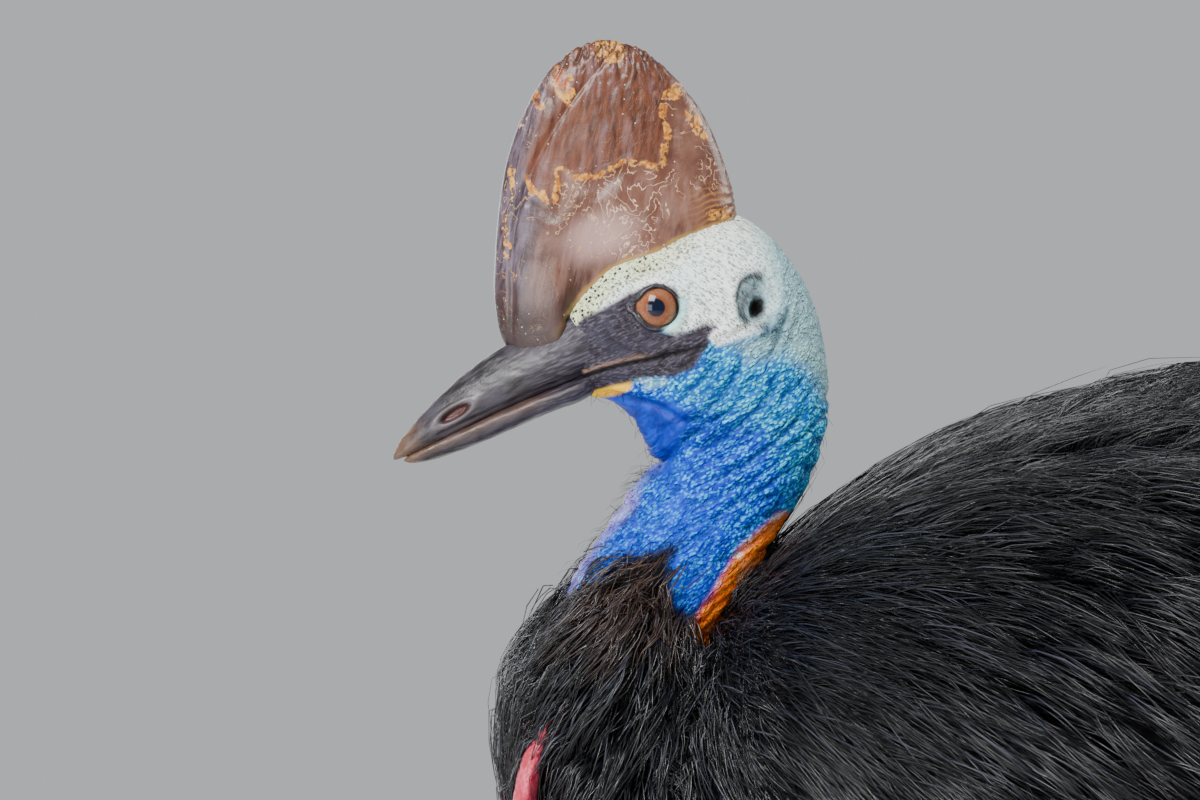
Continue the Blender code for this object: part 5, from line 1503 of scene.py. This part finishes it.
def growStrands(paths, ups, random, perTuft, width, spread, rings):
    # Every strand of every tuft, as rings of three corners and a tip.
    tufts, steps = paths.shape[:2]
    count = tufts * perTuft
    share = np.linspace(0, 1, rings + 1)
    reachOf = random.uniform(0.72, 1.08, count)
    which = np.repeat(np.arange(tufts), perTuft)
    along = np.clip(share[None, :] * reachOf[:, None], 0, 1.0) * (steps - 1)
    low = np.minimum(along.astype(int), steps - 2)
    part = (along - low)[..., None]
    extra = np.maximum(share[None, :] * reachOf[:, None] - 1, 0)[..., None]
    line = paths[which[:, None], low] * (1 - part) + paths[which[:, None], low + 1] * part
    up = ups[which[:, None], low]
    course = paths[:, 1:] - paths[:, :-1]
    line += (course[which, -1][:, None] * (steps - 1)) * extra
    course = course[which[:, None], low]
    course /= np.linalg.norm(course, axis=2, keepdims=True) + 1e-12
    across = np.cross(course, up)
    across /= np.linalg.norm(across, axis=2, keepdims=True) + 1e-12
    up = np.cross(across, course)
    t = share[None, :]
    rootOff = random.normal(0, spread[0], (count, 2))
    tipOff = random.normal(0, spread[1], (count, 2))
    wild = (random.random(count) < coat["stray"]) * 1.5 + 1
    gather = np.clip(t * 1.5, 0, 1)
    sideOff = rootOff[:, :1] * (1 - gather) + tipOff[:, :1] * gather * wild[:, None]
    sideOff += random.normal(0, 0.6, (count, 1)) * np.sin(math.pi * (t * random.uniform(1, 2.2, (count, 1))
                                                                   + random.random((count, 1))))
    upOff = tipOff[:, 1:] * 0.3 * t * wild[:, None] - np.abs(rootOff[:, 1:]) * 0.15 * (1 - t)
    line = line + across * sideOff[..., None] * 0.001 + up * upOff[..., None] * 0.001
    line = line + (rootOff[:, 1] * 0.001)[:, None, None] * course[:, :1] * (1 - t)[..., None]
    twist = random.uniform(-0.5, 0.5, count)[:, None, None]
    flat = across * np.cos(twist) + up * np.sin(twist)
    thick = np.cross(flat, course)
    half = width * 0.0005 * random.uniform(0.7, 1.25, count)[:, None] * np.array(coat["widthShares"])[None, :]
    half = half[..., None]
    centre, flat, thick = line[:, :rings], flat[:, :rings], thick[:, :rings]
    corners = np.stack([centre - flat * half, centre + flat * half, centre - thick * half * 0.9], 2)
    vertices = np.concatenate([corners.reshape(count, rings * 3, 3), line[:, rings:rings + 1]], 1)
    return vertices, line[:, 0], which


def strandMesh(name, vertices, roots, tones, look):
    # One closed prism to each strand, and its place on the unwrapped coat.
    count, each = vertices.shape[:2]
    rings = (each - 1) // 3
    quads = []
    for j in range(rings - 1):
        for k in range(3):
            n = (k + 1) % 3
            quads.append((j * 3 + k, j * 3 + n, (j + 1) * 3 + n, (j + 1) * 3 + k))
    last = (rings - 1) * 3
    triangles = [(last + k, last + (k + 1) % 3, each - 1) for k in range(3)] + [(2, 1, 0)]
    quads, triangles = np.array(quads), np.array(triangles)
    loops = np.concatenate([quads.reshape(-1), triangles.reshape(-1)])
    sizes = np.concatenate([np.full(len(quads), 4), np.full(len(triangles), 3)])
    starts = np.concatenate([[0], np.cumsum(sizes)[:-1]])
    mesh = bpy.data.meshes.new(name)
    mesh.vertices.add(count * each)
    mesh.vertices.foreach_set("co", vertices.reshape(-1).astype(np.float32))
    allLoops = (loops[None, :] + (np.arange(count) * each)[:, None]).reshape(-1)
    mesh.loops.add(len(allLoops))
    mesh.loops.foreach_set("vertex_index", allLoops.astype(np.int32))
    allStarts = (starts[None, :] + (np.arange(count) * len(loops))[:, None]).reshape(-1)
    mesh.polygons.add(len(allStarts))
    mesh.polygons.foreach_set("loop_start", allStarts.astype(np.int32))
    mesh.polygons.foreach_set("use_smooth", np.ones(len(allStarts), bool))
    mesh.update(calc_edges=True)
    layer = mesh.uv_layers.new(name="OFBake")
    middle = side(*body["centre"])
    angle = np.arctan2(roots[:, 0], roots[:, 2] - middle.z) / (2 * math.pi) + 0.5
    length = (roots[:, 1] - cadLow.y) / (cadHigh.y - cadLow.y)
    offset = np.stack([(np.arange(each) % 3) / 3, np.arange(each) / each], 1) * 0.003
    uv = np.stack([0.002 + angle * 0.99, 0.002 + length * 0.99], 1)[:, None, :] + offset[None, loops, :]
    layer.data.foreach_set("uv", uv.reshape(-1).astype(np.float32))
    for k, mark in enumerate(("tone", "brown")):
        values = mesh.attributes.new(mark, "FLOAT", "POINT")
        values.data.foreach_set("value", np.repeat(tones[:, k], each).astype(np.float32))
    piece = bpy.data.objects.new(name, mesh)
    bpy.context.scene.collection.objects.link(piece)
    mesh.materials.append(look)
    return piece


def makeCoatLook():
    look = newLook("black plumage", (0.006, 0.006, 0.008), 0.36, {"Specular IOR Level": 0.75})
    tone = mask("tone")
    # The strands of highest tone are painted blue-grey, a painted highlight of the coat's sheen; the brown is
    # the neck tuft's own colour.
    black = over(mix(tone, (0.0016, 0.0017, 0.0026), (0.008, 0.008, 0.012)),
                 ((0.034, 0.037, 0.056), reach(tone, 0.80, 1.0)), ((0.070, 0.038, 0.026), mask("brown")))
    wire(colour=black)
    wire(roughness=reach(tone, 0, 1, 0.20, 0.38))
    return look


def regionOf(roots):
    # The piece of the coat that each root belongs to.
    behind, above, out = sideView(roots)
    left = np.where(out > 0, "Left", "Right")
    place = np.full(len(roots), "flank", dtype=object)
    place[above > -190] = "back"
    place[behind > 590] = "rump"
    place[(roots[:, 2] < 0.60) & (behind < 590)] = "thigh"
    place[behind < 327] = "shoulder"
    place[behind < 150] = "mantle"
    place[behind < 62] = "breast"
    return np.array([f"feathers_{p}_{s}" for p, s in zip(place, left)])


def makeCoat(skinPiece):
    random = np.random.default_rng(coat["seed"])
    surface = treeOf(skinPiece)
    look = makeCoatLook()
    everything = []
    for kind in ("fine", "broad"):
        fine = kind == "fine"

        def weightOf(points):
            # Fine strands grow in front of the border and broad ones behind it, thickest by the bare neck.
            blend = ramp(points[:, 1], coat["fineEnds"] - 0.05, coat["fineEnds"] + 0.05)
            weight = featherShare(points) * ((1 - blend) if fine else blend)
            if not fine:
                return weight
            behind, above, _ = sideView(points)
            thick = np.where(behind < 40, 1.6, 1.0) + 0.9 * (1 - ramp(behind, -35, 5))
            thick += 3.5 * spot(behind, above, (38, -168), (30, 26), 0, 0.7)
            thick += 2.0 * spot(behind, above, (6, -150), (20, 20), 0, 0.7)
            thick += 1.1 * ramp(behind, 15, 30) * (1 - ramp(behind, 110, 190)) * ramp(above, -330, -240)
            return weight * thick

        tufts = coat[kind + "Strands"] // coat[kind + "PerTuft"]
        roots = sampleRoots(skinPiece, random, tufts, weightOf)
        short, long = coat[kind + "Length"]
        lengths = random.uniform(short, long, tufts) * 0.001
        behind, above, _ = sideView(roots)
        collar = 1 - ramp(featherLine(behind, above), 0, 70)
        lengths *= np.where((behind < 45) & (above > -240), 1 - 0.62 * collar, 1.0)
        lengths *= np.where(roots[:, 2] < coat["legTop"], 0.55, 1.0)
        lifts = 1 - 0.72 * random.random(tufts) ** 1.8
        quick = np.where(behind < 45, 0.26, 0.42)
        paths, ups, calm = combGuides(surface, roots, lengths, lifts, quick, random)
        print("guides kept", calm.sum(), "of", len(calm))
        roots, paths, ups = roots[calm], paths[calm], ups[calm]
        vertices, starts, which = growStrands(paths, ups, random, coat[kind + "PerTuft"],
                                              coat[kind + "Width"], coat[kind + "Spread"], coat["rings"])
        behind, above, _ = sideView(roots)
        brown = spot(behind, above, (6, -130), (32, 22), 20, 0.6)[which]
        tones = np.stack([random.random(len(which)), brown * random.uniform(0.3, 1, len(which))], 1)
        everything.append((vertices, starts, tones, regionOf(roots)[which]))
    pieces = []
    vertices, starts, tones, regions = (np.concatenate(parts) for parts in zip(*everything))
    np.clip(vertices[..., 2], coat["lowest"], None, out=vertices[..., 2])
    most = coat["perPiece"]
    for region in sorted(set(regions)):
        chosen = np.nonzero(regions == region)[0]
        for k in range(0, len(chosen), most):
            name = region if len(chosen) <= most else f"{region}_{k // most + 1}"
            part = chosen[k:k + most]
            pieces.append(strandMesh(name, vertices[part], starts[part], tones[part], look))
    return pieces


hair = {
    "seed": 5, "width": 0.30,
    # Where hairs grow: (line in the side view, half width of the band, number, length).
    "bands": (
        (((-34, -47), (-14, -48), (-8, -60), (-4, -78)), 9, 60, (5, 9)),
        (((-8, -86), (-18, -104), (-32, -124), (-42, -140)), 9, 150, (7, 13)),
        (((41, -8), (39.5, 4), (43, 15), (50, 17)), 2.5, 110, (3, 5)),
        (((50, -10), (56, -13), (62, -12)), 3.5, 60, (2.5, 4)),
        (((12, -9), (22, -7), (28, -10)), 3, 50, (2.5, 4)),
        (((88, -50), (84, -70), (74, -92)), 6, 50, (4, 7)),
    ),
}


def makeHairs(skinPiece, look):
    # Sparse black hairs on the throat and neck, at the rim of the ear and behind the eye.
    random = np.random.default_rng(hair["seed"])
    points, normals = pointsOf(skinPiece), normalsOf(skinPiece)
    behind, above, _ = sideView(points)
    strands, starts = [], []
    for line, band, number, (short, long) in hair["bands"]:
        away = lineDistance(behind, above, line)[0]
        for k in random.choice(np.nonzero(away < band)[0], number):
            root, up = points[k] - normals[k] * 0.0006, normals[k]
            lean = np.array([0.0, random.normal(0.1, 0.35), random.normal(-0.75, 0.3)])
            lean -= up * (lean @ up)
            lean /= np.linalg.norm(lean) + 1e-9
            across = np.cross(lean, up)
            length = random.uniform(short, long) * 0.001
            rise = random.uniform(0.35, 0.8)
            rings = []
            for j in range(4):
                t = j / 4
                bend = up * rise * math.sin(t * 1.7) / 1.7 * 1.4 + lean * t * (0.55 + 0.45 * t)
                centre = root + bend * length
                half = hair["width"] * 0.0005 * (1 - 0.6 * t)
                rings += [centre - across * half, centre + across * half, centre - up * half * 1.6]
            rings.append(root + (up * rise * 0.8 + lean) * length)
            strands.append(np.array(rings))
            starts.append(root)
    tones = np.zeros((len(strands), 2))
    return strandMesh("finehairs", np.array(strands), np.array(starts), tones, look)


coatPieces = makeCoat(birdSkin)
coatPieces.append(makeHairs(birdSkin, coatPieces[0].data.materials[0]))
print("coat made", len(coatPieces), sum(len(p.data.polygons) for p in coatPieces))

# Stage, light and camera

studio = {
    "azimuth": 85.0, "elevation": 3.0, "distance": 4.0, "lens": 240.0, "aim": (-26.5, -47.5),
    "floor": (0.80, 0.79, 0.77), "world": (0.80, 0.83, 0.86), "worldStrength": 0.62,
}


def makeStudio():
    floor = fresh(bpy.ops.mesh.primitive_plane_add, "floor", size=8)
    floor.data.materials.append(newLook("pale floor", studio["floor"], 0.75))
    world = bpy.data.worlds.new("studio")
    world.use_nodes = True
    world.node_tree.nodes["Background"].inputs[0].default_value = (*studio["world"], 1)
    world.node_tree.nodes["Background"].inputs[1].default_value = studio["worldStrength"]
    bpy.context.scene.world = world
    lights = (("key", (2.2, -1.6, 3.2), 1.6, 190), ("fill", (-2.6, -1.2, 1.8), 2.2, 45),
              ("back", (-0.6, 2.6, 2.6), 1.6, 60), ("front", (2.4, -2.2, 0.9), 1.4, 40))
    for name, spotAt, size, power in lights:
        lamp = bpy.data.lights.new(name, "AREA")
        lamp.energy, lamp.size = power, size
        holder = bpy.data.objects.new(name, lamp)
        holder.location = spotAt
        holder.rotation_euler = (Vector((0, -0.1, 0.8)) - Vector(spotAt)).to_track_quat("-Z", "Y").to_euler()
        bpy.context.scene.collection.objects.link(holder)
    camera = bpy.data.cameras.new("camera")
    camera.lens = studio["lens"]
    camera.sensor_width = 36
    holder = bpy.data.objects.new("camera", camera)
    a, e = math.radians(studio["azimuth"]), math.radians(studio["elevation"])
    back = Vector((math.sin(a) * math.cos(e), -math.cos(a) * math.cos(e), math.sin(e)))
    holder.location = side(*studio["aim"]) + back * studio["distance"]
    holder.rotation_euler = (-back).to_track_quat("-Z", "Y").to_euler()
    bpy.context.scene.collection.objects.link(holder)
    bpy.context.scene.camera = holder


makeStudio()

# What each piece rides on and stands for

riders = [
    (birdSkin, "neck_skin", ["head", "neck_upper", "neck_lower", "torso", "tail",
                             "thigh_left", "thigh_right"]),
    (casquePiece, "casque_horn", ["casque"]),
    (billUpper, "bill_horn", ["bill_upper"]),
    (billLower, "bill_horn", ["bill_lower"]),
    (eyes[0], "eye", ["eye_left"]),
    (eyes[1], "eye", ["eye_right"]),
    (wattles[0], "wattle_skin", ["wattle_left"]),
    (wattles[1], "wattle_skin", ["wattle_right"]),
]
riders += legPieces + wingPieces
riders += [(piece, "head_skin", []) for piece in lids]
riders += [(piece, "plumage", []) for piece in coatPieces]
for piece, slot, nodes in riders:
    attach(piece, "root")
    if nodes:
        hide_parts(*nodes)
